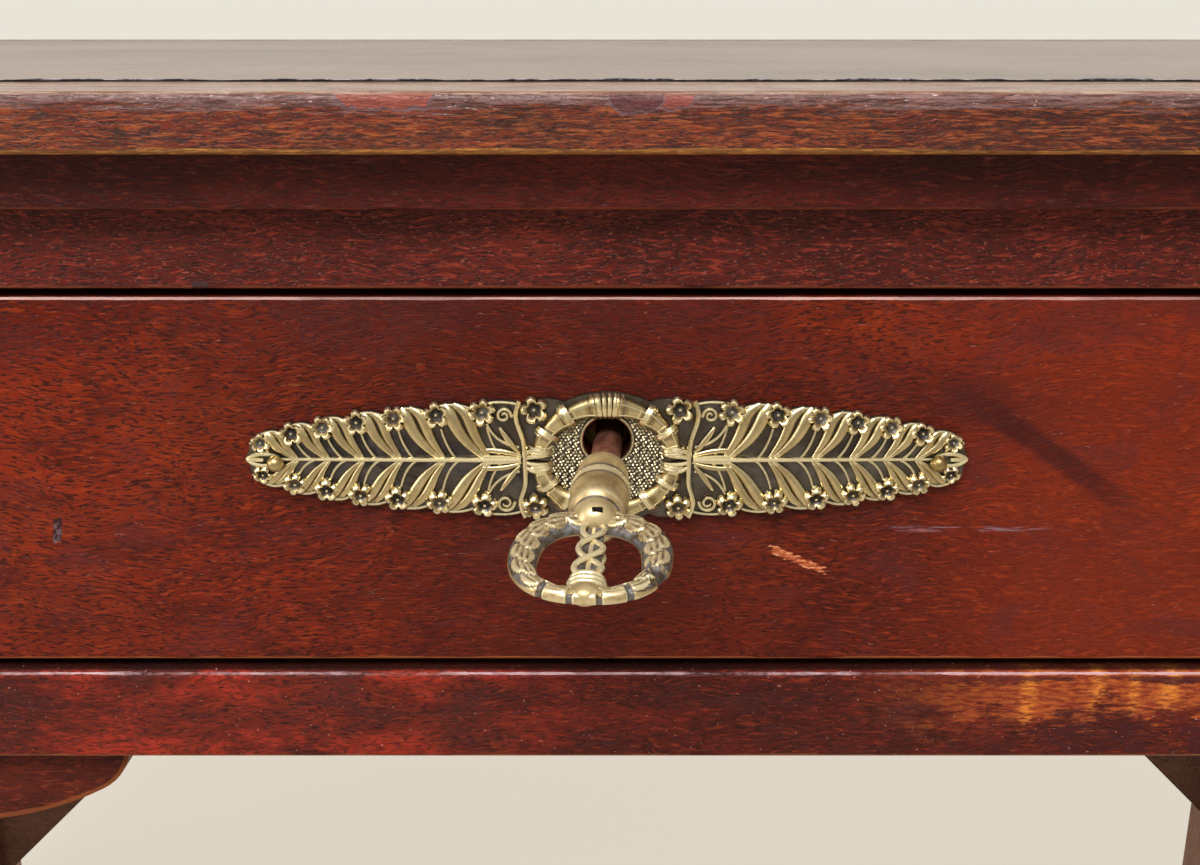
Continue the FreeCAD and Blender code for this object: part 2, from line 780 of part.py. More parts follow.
frame_middle = (front_plane + frame_back) / 2
blocks = []
for sign in (-1, 1):
    for index in range(BLOCK_COUNT):
        blocks.append(glue_block(sign, frame_middle + size.block_pitch * (index - (BLOCK_COUNT - 1) / 2)))
sub_part("glue_blocks", grouped(blocks))


# Aprons: shaped boards under the lower rail, each with a round nose towards the middle

def apron(tip, sign):
    """An apron from its nose to the leg, glued under the rail."""
    wide = size.nose_length * size.nose_length + size.nose_depth * size.nose_depth
    wide = (wide - size.nose_length * size.nose_round * 2) / ((size.nose_depth - size.nose_round) * 2)
    span = wide - size.nose_round
    meet_run = (size.nose_length - size.nose_round) * wide / span
    meet_depth = size.nose_round * (wide - size.nose_depth) / span
    nose_end = tip + size.nose_length
    sweep_drop = size.apron_leg_depth - size.nose_depth
    sweep = size.apron_sweep * size.apron_sweep + sweep_drop * sweep_drop
    sweep_radius = sweep / (sweep_drop * 2)
    corners = [
        (tip * sign, frieze_bottom),
        ((nose_end - meet_run) * sign, frieze_bottom - meet_depth, size.nose_round * sign),
        (nose_end * sign, frieze_bottom - size.nose_depth, wide * sign),
        ((leg_inside - size.apron_sweep) * sign, frieze_bottom - size.nose_depth),
        (leg_inside * sign, frieze_bottom - size.apron_leg_depth, sweep_radius * -sign),
        (leg_inside * sign, frieze_bottom),
    ]
    apron_front = front_plane + size.apron_setback
    return prism_along_y((apron_front, apron_front + size.apron_thickness), corners)


sub_part("apron_left", apron(size.apron_left_tip, -1))
sub_part("apron_right", apron(size.apron_right_tip, 1))


# The key's own frame: its axis droops and points a little to the left, as it hangs in the worn lock

key_level = front_top - size.keyhole_drop - size.key_drop
key_rotation = Rotation(Vector(0, 0, 1), -KEY_YAW) * Rotation(Vector(1, 0, 0), KEY_DROOP)


def on_key_axis(piece, middle):
    """Turn a piece that is drawn along the Y axis onto the key's axis in a lock."""
    corner = Vector(middle.number, front_plane.number, key_level.number)
    piece.Placement = Placement(corner, key_rotation) * piece.Placement
    return piece


def lock_case_box(middle):
    """The outside of a lock case, let into the back of the drawer front."""
    case_y = (front_plane + size.front_thickness - size.lock_depth, front_plane + size.front_thickness)
    return board(
        (middle - size.lock_width / 2, middle + size.lock_width / 2),
        case_y,
        (front_top - size.lock_height, front_top),
    )


def screw_places(middle):
    """The four corners of a lock case where a screw goes."""
    across = size.lock_width / 2 - size.screw_inset
    low = front_top - size.lock_height + size.screw_inset
    high = front_top - size.screw_inset
    return [(middle + across * sign, level) for sign in (-1, 1) for level in (low, high)]


inner_face = front_plane + size.front_thickness


def lock_screw(x, z, play):
    """A countersunk screw, driven from inside the drawer."""
    head_height = size.screw_head_radius - size.screw_radius
    shaft_radius = size.screw_radius + play
    shaft = rod(shaft_radius, size.screw_length + play, (0, -1, 0), (x, inner_face, z))
    head = cone(size.screw_head_radius + play, shaft_radius, head_height, (0, -1, 0), (x, inner_face, z))
    return joined(shaft, head)


def lock_case(middle):
    """A brass case with a chamber for the key's bit, a slot for the bolt and a pin for the hollow key."""
    chamber_front = front_plane + size.front_thickness - size.lock_depth - size.overrun
    chamber = board(
        (middle - size.chamber_width / 2, middle + size.chamber_width / 2),
        (chamber_front, inner_face - size.lock_wall),
        (front_top - size.lock_height + size.lock_wall, front_top - size.lock_wall),
    )
    half_slot = size.bolt_width / 2 + size.bolt_clearance
    slot = board(
        (middle - half_slot, middle + half_slot),
        (bolt_y[0] - size.bolt_clearance, bolt_y[1] + size.bolt_clearance),
        (front_top - size.lock_wall * 2, front_top + size.overrun),
    )
    holes = [lock_screw(x, z, size.hole_play) for x, z in screw_places(middle)]
    case = cut(lock_case_box(middle), chamber, slot, *holes)
    pin_start = size.front_thickness - size.lock_wall / 2
    pin = doc.addObject("Part::Cylinder", "pin")
    pin.setExpression("Radius", size.lock_pin_radius.formula)
    pin.setExpression("Height", size.lock_pin_length.formula)
    turn_forward = Rotation(Vector(0, 0, 1), Vector(0, -1, 0))
    pin.Placement = Placement(Vector(0, pin_start.number, 0), turn_forward)
    return joined(case, on_key_axis(pin, middle))


def lock_bolt(middle):
    """The bolt in its drawn-back place."""
    half_width = size.bolt_width / 2
    return board(
        (middle - half_width, middle + half_width),
        bolt_y,
        (key_level + size.bolt_foot, front_top - size.bolt_top_drop),
    )


# Keyhole plate: two leafy wings on a long ellipse with a scalloped edge, and an oval ring in the middle

plate_level = front_top - size.keyhole_drop - size.plate_drop


def edge_height(x):
    """The plate's half height at a distance from its middle."""
    share = x / size.plate_half_length
    return (as_length(1) - share * share * EDGE_FALL_SHARE).root() * size.plate_half_height


def plate_outline(middle):
    """The scalloped outline, anticlockwise from the right-hand tip."""
    step = size.plate_half_length * (SCALLOPED_SHARE / SCALLOP_COUNT)
    quarter = [(step * index, edge_height(step * index)) for index in range(SCALLOP_COUNT, 0, -1)]
    tip = size.plate_half_length
    corners = [
        (middle + tip, plate_level - size.tip_width / 2),
        (middle + tip, plate_level + size.tip_width / 2),
        (middle + quarter[0][0], plate_level + quarter[0][1]),
    ]
    for x, rise in quarter[1:]:
        corners.append((middle + x, plate_level + rise, size.plate_scallop))
    for index, (x, rise) in enumerate(reversed(quarter)):
        radius = size.crown_scallop if index == 0 else size.plate_scallop
        corners.append((middle - x, plate_level + rise, radius))
    corners.append((middle - tip, plate_level + size.tip_width / 2))
    corners.append((middle - tip, plate_level - size.tip_width / 2))
    corners.append((middle - quarter[0][0], plate_level - quarter[0][1]))
    for x, rise in quarter[1:]:
        corners.append((middle - x, plate_level - rise, size.plate_scallop))
    for index, (x, rise) in enumerate(reversed(quarter)):
        radius = size.crown_scallop if index == 0 else size.plate_scallop
        corners.append((middle + x, plate_level - rise, radius))
    return corners


def leaf_outlines(middle):
    """Pointed leaves that lean from the spine towards the tip of each wing."""
    half_width = size.leaf_width / 2
    first = size.ring_half_width + size.leaf_pitch / 2
    leaves = []
    for side in (-1, 1):
        for up in (-1, 1):
            for index in range(LEAF_COUNT):
                foot = first + size.leaf_pitch * index
                tip = foot + size.leaf_lean * (1 - LEAN_LOSS_SHARE * index / LEAF_COUNT)
                rise = edge_height(tip) - size.leaf_margin
                foot_rise = size.spine_width / 2
                run, climb = tip - foot, rise - foot_rise
                length = (run * run + climb * climb).root()
                radius = (length * length / 4 + half_width * half_width) / size.leaf_width
                turn = side * up
                leaves.append(
                    [
                        (middle + foot * side, plate_level + foot_rise * up, radius * turn),
                        (middle + tip * side, plate_level + rise * up, radius * turn),
                    ]
                )
    return leaves


def raised_on(body, sketch, relief):
    """Pad an outline up from the plate's ground."""
    pad(body, sketch, size.plate_thickness + relief)


def free_sketch(body, shapes):
    """One sketch that holds several closed outlines side by side."""
    sketch = body.newObject("Sketcher::SketchObject", "ornament")
    plane = next(f for f in body.Origin.OriginFeatures if f.Role == "XZ_Plane")
    sketch.AttachmentSupport = [(plane, "")]
    sketch.MapMode = "FlatFace"
    for shape in shapes:
        for edge in shape:
            sketch.addGeometry(edge, False)
    return sketch


def leaf_edges(corners):
    """The two arcs of one leaf."""
    points = [Vector(c[0].number, c[1].number, 0) for c in corners]
    turn = corners[0][2].number
    return [edge_between(points[0], points[1], turn), edge_between(points[1], points[0], turn)]


def flower_circles(middle):
    """The round flowers along the plate's edge."""
    first = size.ring_half_width + size.flower_radius
    last = size.plate_half_length - size.flower_radius * 3
    circles = []
    for side in (-1, 1):
        for up in (-1, 1):
            for index in range(FLOWER_COUNT):
                x = first + (last - first) * (index / (FLOWER_COUNT - 1))
                z = edge_height(x) - size.flower_margin
                centre = Vector((middle + x * side).number, (plate_level + z * up).number, 0)
                circles.append([Part.Circle(centre, Vector(0, 0, 1), size.flower_radius.number)])
    return circles


def keyhole_cutter(middle, y_span):
    """The keyhole: a round with a slot below it."""
    keyhole_level = front_top - size.keyhole_drop
    low, high = ordered(*y_span)
    round_part = rod(size.keyhole_radius, high - low, (0, 1, 0), (middle, low, keyhole_level))
    slot = board(
        (middle - size.slot_width / 2, middle + size.slot_width / 2),
        (low, high),
        (keyhole_level - size.slot_length, keyhole_level),
    )
    return joined(round_part, slot)


def plate_pin(x, play):
    """The shaft of a plate pin, from the spine into the wood."""
    reach = size.plate_pin_length + size.plate_thickness + size.spine_relief
    start = front_plane - size.plate_thickness - size.spine_relief
    return rod(size.plate_pin_radius + play, reach + play, (0, 1, 0), (x, start, plate_level))


def keyhole_plate(middle):
    """One cast plate with its relief."""
    body = new_body(0, front_plane, 0)
    pad(body, outline_sketch(body, "XZ_Plane", plate_outline(middle)), size.plate_thickness)
    leaves = [leaf_edges(corners) for corners in leaf_outlines(middle)]
    raised_on(body, free_sketch(body, leaves), size.leaf_relief)
    raised_on(body, free_sketch(body, flower_circles(middle)), size.flower_relief)
    spine_end = size.plate_half_length - size.tip_width / 2
    spine = [
        (middle - spine_end, plate_level - size.spine_width / 2),
        (middle + spine_end, plate_level - size.spine_width / 2),
        (middle + spine_end, plate_level + size.spine_width / 2),
        (middle - spine_end, plate_level + size.spine_width / 2),
    ]
    raised_on(body, outline_sketch(body, "XZ_Plane", spine), size.spine_relief)
    ring = oval(size.ring_half_width, size.ring_half_height, size.ring_round, middle, plate_level)
    raised_on(body, outline_sketch(body, "XZ_Plane", ring), size.ring_relief)
    inside = oval(
        size.ring_half_width - size.ring_band,
        size.ring_half_height - size.ring_band,
        size.ring_round - size.ring_band,
        middle,
        plate_level,
    )
    proud = size.plate_thickness + size.ring_relief
    hollow = prism_along_y((front_plane - proud - size.overrun, front_plane - size.plate_thickness), inside)
    hole_y = (front_plane - size.plate_thickness - size.overrun, front_plane + size.overrun)
    hole = keyhole_cutter(middle, hole_y)
    pins = [plate_pin(middle + size.plate_pin_place * sign, size.hole_play) for sign in (-1, 1)]
    return cut(body, hollow, hole, *pins)


def plate_pins(middle):
    """The two pins of a plate, with domed heads that sit on the spine."""
    seat_y = front_plane - size.plate_thickness - size.spine_relief
    pins = []
    for sign in (-1, 1):
        x = middle + size.plate_pin_place * sign
        dome = common(
            ball(size.plate_pin_head, (x, seat_y, plate_level)),
            board(
                (x - size.plate_pin_head, x + size.plate_pin_head),
                (seat_y - size.plate_pin_head, seat_y),
                (plate_level - size.plate_pin_head, plate_level + size.plate_pin_head),
            ),
        )
        pins.append(joined(dome, plate_pin(x, zero)))
    return grouped(pins)


# Drawers: lapped dovetails at the front, sides grooved for the bottom and housed for the back

side_bottom = opening_bottom + size.running_gap
side_top = front_top - size.side_drop
panel_bottom = side_bottom + size.bottom_rise
panel_top = panel_bottom + size.bottom_thickness
drawer_back = front_plane + size.drawer_length
tail_pitch = (side_top - front_bottom) / TAIL_COUNT


def tail_levels():
    """The middle height of each dovetail."""
    return [front_bottom + tail_pitch * (index + 0.5) for index in range(TAIL_COUNT)]


def drawer_side_span(middle, half_width, sign):
    """Where a drawer side stands across the desk."""
    outer = half_width - size.gap_beside
    return middle + outer * sign, middle + (outer - size.side_thickness) * sign


def drawer_bottom_board(middle, half_width):
    """The bottom, which runs in grooves in the sides and the front and out under the back."""
    half = half_width - size.gap_beside - size.side_thickness + size.groove_depth
    return board(
        (middle - half, middle + half),
        (inner_face - size.groove_depth, drawer_back),
        (panel_bottom, panel_top),
    )


def drawer_back_board(middle, half_width):
    """The back, housed in the sides above the bottom."""
    half = half_width - size.gap_beside - size.side_thickness + size.groove_depth
    return board(
        (middle - half, middle + half),
        (drawer_back - size.side_thickness * 2, drawer_back - size.side_thickness),
        (panel_top, side_top - size.back_drop),
    )


def drawer_side_board(middle, half_width, sign):
    """A drawer side with its dovetails at the front."""
    corners = [(drawer_back, side_bottom), (drawer_back, side_top), (inner_face, side_top)]
    tail_front = inner_face - size.tail_length
    for level in reversed(tail_levels()):
        corners.append((inner_face, level + size.tail_root / 2))
        corners.append((tail_front, level + size.tail_end / 2))
        corners.append((tail_front, level - size.tail_end / 2))
        corners.append((inner_face, level - size.tail_root / 2))
    corners.append((inner_face, side_bottom))
    return prism_along_x(drawer_side_span(middle, half_width, sign), corners[::-1])


def tail_sockets(middle, half_width, sign):
    """The sockets in the drawer front for one side's dovetails."""
    tail_front = inner_face - size.tail_length
    sockets = []
    for level in tail_levels():
        corners = [
            (inner_face, level - size.tail_root / 2),
            (inner_face, level + size.tail_root / 2),
            (tail_front, level + size.tail_end / 2),
            (tail_front, level - size.tail_end / 2),
        ]
        sockets.append(prism_along_x(drawer_side_span(middle, half_width, sign), corners))
    return sockets


def drawer(name):
    """All the pieces of one drawer, with its lock and plate."""
    middle = drawer_middles[name]
    half_width = half_openings[name]
    half_front = half_width - size.gap_beside
    section = eased_section(
        (front_plane, inner_face),
        (front_bottom, front_top),
        lower_first=size.front_ease,
        upper_first=size.front_ease,
    )
    blank = prism_along_x((middle - half_front, middle + half_front), section)
    tools = tail_sockets(middle, half_width, -1) + tail_sockets(middle, half_width, 1)
    tools.append(drawer_bottom_board(middle, half_width))
    tools.append(lock_case_box(middle))
    tools.append(keyhole_cutter(middle, (front_plane - size.overrun, inner_face)))
    tools += [lock_screw(x, z, size.hole_play) for x, z in screw_places(middle)]
    for sign in (-1, 1):
        x = middle + size.plate_pin_place * sign
        tools.append(plate_pin(x, size.hole_play))
    sub_part(f"{name}_drawer_front", cut(blank, *tools))
    for side, sign in (("left", -1), ("right", 1)):
        grooves = [drawer_bottom_board(middle, half_width), drawer_back_board(middle, half_width)]
        piece = cut(drawer_side_board(middle, half_width, sign), *grooves)
        sub_part(f"{name}_drawer_side_{side}", piece)
    sub_part(f"{name}_drawer_back", drawer_back_board(middle, half_width))
    sub_part(f"{name}_drawer_bottom", drawer_bottom_board(middle, half_width))
    sub_part(f"{name}_keyhole_plate", keyhole_plate(middle))
    sub_part(f"{name}_plate_pins", plate_pins(middle))
    sub_part(f"{name}_lock_case", lock_case(middle))
    sub_part(f"{name}_lock_screws", grouped([lock_screw(x, z, zero) for x, z in screw_places(middle)]))
    sub_part(f"{name}_lock_bolt", lock_bolt(middle))


for name in drawer_middles:
    drawer(name)


# Key: a hollow iron shank with its bit, and a cast brass handle of collar and bow, drawn along the Y axis

def key_shank():
    """The shank reaches from the collar into the lock and fits over the lock's pin."""
    bite = size.collar_length / 2
    length = size.shank_length + size.tail_reach + bite
    shaft = rod(size.shank_radius, length, (0, 1, 0), (zero, -size.shank_length - bite, zero))
    bit = board(
        (-size.bit_reach, zero),
        (size.tail_reach - size.bit_length, size.tail_reach),
        (-size.bit_thickness / 2, size.bit_thickness / 2),
    )
    bore_radius = size.lock_pin_radius + size.pipe_play
    bore_start = size.tail_reach - size.lock_pin_length - size.overrun
    bore_length = size.lock_pin_length + size.overrun * 2
    bore = rod(bore_radius, bore_length, (0, 1, 0), (zero, bore_start, zero))
    return cut(joined(shaft, bit), bore)


def key_handle():
    """A barrel-shaped collar that runs out into an oval bow with a bar across it."""
    outward = (0, -1, 0)
    half_collar = size.collar_length / 2
    collar_start = -size.shank_length
    waist = collar_start - half_collar
    rear = cone(size.collar_rear_radius, size.collar_radius, half_collar, outward, (zero, collar_start, zero))
    fore = cone(size.collar_radius, size.collar_neck_radius, half_collar, outward, (zero, waist, zero))
    bow_start = collar_start - size.collar_length
    bow_middle = bow_start - size.bow_length / 2
    hole_length = size.bow_length - size.bow_band - size.bow_end_band
    half_thick = size.bow_thickness / 2
    outer = prism_along_z(
        (-half_thick, half_thick),
        oval(size.bow_width / 2, size.bow_length / 2, size.bow_round, zero, bow_middle),
    )
    inner = prism_along_z(
        (-half_thick - size.overrun, half_thick + size.overrun),
        oval(
            size.bow_width / 2 - size.bow_band,
            hole_length / 2,
            size.bow_round - size.bow_band,
            zero,
            bow_start - size.bow_band - hole_length / 2,
        ),
    )
    bar_start = bow_start + size.bow_band / 2
    bar_end = bow_start - size.bow_length + size.bow_end_band / 2
    half_bar = size.bow_bar_thickness / 2
    bar_corners = [
        (-size.bow_bar_root / 2, bar_start),
        (-size.bow_bar_end / 2, bar_end),
        (size.bow_bar_end / 2, bar_end),
        (size.bow_bar_root / 2, bar_start),
    ]
    bar = prism_along_z((-half_bar, half_bar), bar_corners)
    end = bow_start - size.bow_length + size.bow_bead_radius
    bead = ball(size.bow_bead_radius, (zero, end, zero))
    socket_start = (zero, collar_start + size.overrun, zero)
    socket = rod(size.shank_radius, half_collar + size.overrun, outward, socket_start)
    return cut(joined(rear, fore, cut(outer, inner), bar, bead), socket)


sub_part("key_shank", on_key_axis(key_shank(), zero))
sub_part("key_handle", on_key_axis(key_handle(), zero))

doc.recompute()

for thing in doc.Objects:
    if "Invalid" in thing.State or "Error" in thing.State:
        raise RuntimeError(f"{thing.Name} ({thing.Label}) failed: {thing.State}")
for piece in sub_parts:
    if piece.Shape.isNull() or not piece.Shape.isValid() or not piece.Shape.Solids:
        raise RuntimeError(f"{piece.Label} has no valid solid")

os.makedirs("parts", exist_ok=True)
for piece in sub_parts:
    piece.Shape.exportStep(f"parts/{piece.Label}.step")
print(len(sub_parts), "sub-parts")
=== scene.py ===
import math

import bmesh
import bpy
from mathutils import Matrix, Vector


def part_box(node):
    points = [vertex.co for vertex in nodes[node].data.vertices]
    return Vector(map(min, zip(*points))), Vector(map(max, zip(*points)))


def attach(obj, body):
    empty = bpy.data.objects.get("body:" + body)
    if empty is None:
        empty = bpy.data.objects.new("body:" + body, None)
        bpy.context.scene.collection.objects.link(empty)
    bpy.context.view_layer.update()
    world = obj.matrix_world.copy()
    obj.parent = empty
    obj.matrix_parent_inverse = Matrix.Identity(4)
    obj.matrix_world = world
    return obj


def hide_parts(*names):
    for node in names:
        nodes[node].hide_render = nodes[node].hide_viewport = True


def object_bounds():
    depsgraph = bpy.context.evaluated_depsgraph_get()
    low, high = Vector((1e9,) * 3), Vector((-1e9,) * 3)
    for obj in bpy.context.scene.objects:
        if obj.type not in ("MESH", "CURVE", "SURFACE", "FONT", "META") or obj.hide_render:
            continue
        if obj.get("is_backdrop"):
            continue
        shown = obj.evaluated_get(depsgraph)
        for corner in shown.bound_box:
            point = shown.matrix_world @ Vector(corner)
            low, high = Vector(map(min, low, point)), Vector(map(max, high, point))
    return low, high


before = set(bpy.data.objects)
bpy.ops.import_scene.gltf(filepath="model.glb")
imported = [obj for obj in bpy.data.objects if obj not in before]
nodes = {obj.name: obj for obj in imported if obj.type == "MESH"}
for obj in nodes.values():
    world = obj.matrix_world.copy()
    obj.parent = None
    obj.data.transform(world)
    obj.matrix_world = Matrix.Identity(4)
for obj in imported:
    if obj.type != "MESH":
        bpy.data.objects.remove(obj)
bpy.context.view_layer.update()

# The viewpoint
# A person bends down to the keyhole: the eye is 30 cm in front of the drawers, just above the level of the
# top, and looks down by about 18 degrees.

FRONT_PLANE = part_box("centre_drawer_front")[0].y
EYE_DISTANCE = 0.3
EYE_HEIGHT = 0.7754
EYE_SIDE = -0.00175
LOOK_DOWN = 18.23
LENS = 37.83

camera_data = bpy.data.cameras.new("eye")
camera_data.lens = LENS
camera_data.sensor_width = 36
camera_data.clip_start = 0.01
camera = bpy.data.objects.new("eye", camera_data)
camera.location = (EYE_SIDE, FRONT_PLANE - EYE_DISTANCE, EYE_HEIGHT)
camera.rotation_euler = (math.radians(90 - LOOK_DOWN), 0, 0)
bpy.context.scene.collection.objects.link(camera)
bpy.context.scene.camera = camera
bpy.context.scene.view_settings.view_transform = "Standard"


# The studio
# A plain cream floor that runs on into a cream surround, one large soft lamp above and in front of the desk,
# and a weaker one at each side.

def shade(red, green, blue):
    """A colour as it is seen, 0 to 255, turned into the light it reflects."""
    linear = []
    for value in (red, green, blue):
        part = value / 255
        linear.append(part / 12.92 if part <= 0.04045 else ((part + 0.055) / 1.055) ** 2.4)
    return (*linear, 1)


def add_node(tree, kind, inputs=None, **settings):
    """Adds a node: a socket among the inputs is linked, and anything else is set as its value."""
    node = tree.nodes.new(kind)
    for name, value in settings.items():
        setattr(node, name, value)
    for name, value in (inputs or {}).items():
        if isinstance(value, bpy.types.NodeSocket):
            tree.links.new(value, node.inputs[name])
        else:
            node.inputs[name].default_value = value
    return node


def as_mesh(name, shape):
    """Ends a bmesh as a mesh of that name."""
    mesh = bpy.data.meshes.new(name)
    shape.to_mesh(mesh)
    shape.free()
    return mesh


FLOOR_SEEN = shade(233, 224, 209)
FLOOR_LIT = shade(205, 196, 183)
SURROUND_SEEN = shade(233, 228, 216)
SURROUND_LIGHT = 0.42
SURROUND_GLOSS = 0.7
FLOOR_RADIUS = 9
FLOOR_GLOW = 0.75
FLOOR_DROP = 0.0005


def seen_directly(tree):
    """The light path, and 1 where the eye sees this surface itself."""
    ray = add_node(tree, "ShaderNodeLightPath").outputs
    rays = {0: ray["Is Camera Ray"], 1: ray["Is Transmission Ray"]}
    return ray, add_node(tree, "ShaderNodeMath", rays, operation="MAXIMUM").outputs[0]


world = bpy.data.worlds.new("surround")
world.use_nodes = True
bpy.context.scene.world = world
sky = world.node_tree
sky.nodes.clear()
ray, seen_ray = seen_directly(sky)
glossy = {"Value": ray["Is Glossy Ray"], "To Min": SURROUND_LIGHT, "To Max": SURROUND_GLOSS}
brightness = add_node(sky, "ShaderNodeMapRange", glossy)
seen = add_node(sky, "ShaderNodeBackground", {"Color": SURROUND_SEEN, "Strength": 1.0})
light = add_node(sky, "ShaderNodeBackground", {"Color": SURROUND_SEEN, "Strength": brightness.outputs[0]})
both = add_node(sky, "ShaderNodeMixShader", {0: seen_ray, 1: light.outputs[0], 2: seen.outputs[0]})
add_node(sky, "ShaderNodeOutputWorld", {"Surface": both.outputs[0]})

floor_material = bpy.data.materials.new("cream floor")
floor_material.use_nodes = True
tree = floor_material.node_tree
tree.nodes.clear()
ray, seen_ray = seen_directly(tree)
share = add_node(tree, "ShaderNodeMath", {0: seen_ray, 1: FLOOR_GLOW}, operation="MULTIPLY")
matt = add_node(tree, "ShaderNodeBsdfDiffuse", {"Color": FLOOR_LIT})
glow = add_node(tree, "ShaderNodeEmission", {"Color": FLOOR_SEEN, "Strength": 1.0})
both = add_node(tree, "ShaderNodeMixShader", {0: share.outputs[0], 1: matt.outputs[0], 2: glow.outputs[0]})
add_node(tree, "ShaderNodeOutputMaterial", {"Surface": both.outputs[0]})

shape = bmesh.new()
bmesh.ops.create_circle(shape, cap_ends=True, segments=96, radius=FLOOR_RADIUS)
floor_mesh = as_mesh("floor", shape)
floor = bpy.data.objects.new("floor", floor_mesh)
floor.location.z = -FLOOR_DROP
floor_mesh.materials.append(floor_material)
bpy.context.scene.collection.objects.link(floor)
floor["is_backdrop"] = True


def soft_lamp(name, place, aim, width, height, watts, tint, mirrored=True):
    """A large soft box that hangs in one place and faces another."""
    data = bpy.data.lights.new(name, "AREA")
    data.shape = "RECTANGLE"
    data.size = width
    data.size_y = height
    data.energy = watts
    data.color = tint
    lamp = bpy.data.objects.new(name, data)
    lamp.location = place
    lamp.rotation_euler = (Vector(aim) - Vector(place)).to_track_quat("-Z", "Y").to_euler()
    lamp.visible_glossy = mirrored
    bpy.context.scene.collection.objects.link(lamp)


DESK_MIDDLE = (0, 0, 0.5)
soft_lamp("lamp_above_front", (-0.5, -1.9, 2.9), DESK_MIDDLE, 2.2, 1.2, 95, (1, 0.965, 0.92))
soft_lamp("lamp_left", (-3.0, -1.2, 1.4), DESK_MIDDLE, 1.6, 1.6, 34, (1, 0.95, 0.9))
soft_lamp("lamp_right", (3.0, 0.8, 1.8), DESK_MIDDLE, 1.6, 1.6, 34, (0.95, 0.97, 1))
soft_lamp("lamp_back", (0.4, 3.0, 2.4), DESK_MIDDLE, 2.0, 1.4, 60, (1, 0.98, 0.96), mirrored=False)


# Top borders
# Four mitred lengths of solid mahogany frame the top. Their upper edge is rounded over, with a grey sheen
# and small highlights painted there and a pale reflection painted on the top face, and a century of hands
# has worn the polish through to the golden wood along the lower edge.

class Painter:
    """Adds shader nodes to one tree, at one place on the surface."""

    def __init__(self, tree, place):
        self.tree = tree
        self.place = place

    def add(self, kind, inputs=None, **settings):
        return add_node(self.tree, kind, inputs, **settings)

    def vector(self, operation, first, second):
        return self.add("ShaderNodeVectorMath", {0: first, 1: second}, operation=operation).outputs[0]

    def sum(self, operation, first, second=0.0, third=0.0):
        return self.add("ShaderNodeMath", {0: first, 1: second, 2: third}, operation=operation).outputs[0]

    def times(self, first, second):
        return self.sum("MULTIPLY", first, second)

    def less(self, first, second):
        return self.sum("SUBTRACT", first, second)

    def scaled(self, value, factor, offset):
        return self.sum("MULTIPLY_ADD", value, factor, offset)

    def squared_gap(self, value, target):
        return self.sum("POWER", self.sum("ABSOLUTE", self.less(value, target)), 2.0)

    def away(self, first, second):
        """The distance that two squared gaps give."""
        return self.sum("SQRT", self.sum("ADD", first, second))

    def step(self, value, low, high, top=1.0):
        """Rises smoothly from 0 where the value is low to the top where it is high."""
        inputs = {"Value": value, "From Min": low, "From Max": high, "To Max": top}
        return self.add("ShaderNodeMapRange", inputs, interpolation_type="SMOOTHSTEP").outputs[0]

    def cloud(self, scale, detail=3.0, roughness=0.55, shift=0.0, distortion=0.0):
        """Soft irregular patches, with a scale per metre along each axis."""
        moved = self.vector("ADD", self.place, (shift, shift * 0.7, shift * 1.3))
        inputs = {"Vector": self.vector("MULTIPLY", moved, scale), "Scale": 1.0, "Detail": detail}
        inputs.update({"Roughness": roughness, "Distortion": distortion})
        return self.add("ShaderNodeTexNoise", inputs).outputs[0]

    def patches(self, scale, low, high, **noise):
        """A cloud that is 0 up to a low value and 1 from a high one, or the other way round."""
        return self.step(self.cloud(scale, **noise), low, high)

    def mix(self, factor, first, second):
        """Blends two colours. One that is written as a triple is a colour as it is seen."""
        inputs = {0: factor}
        for number, tone in ((6, first), (7, second)):
            inputs[number] = shade(*tone) if isinstance(tone, tuple) and len(tone) == 3 else tone
        return self.add("ShaderNodeMix", inputs, data_type="RGBA").outputs[2]

    def blend_value(self, factor, first, second):
        return self.add("ShaderNodeMix", {0: factor, 2: first, 3: second}, data_type="FLOAT").outputs[0]


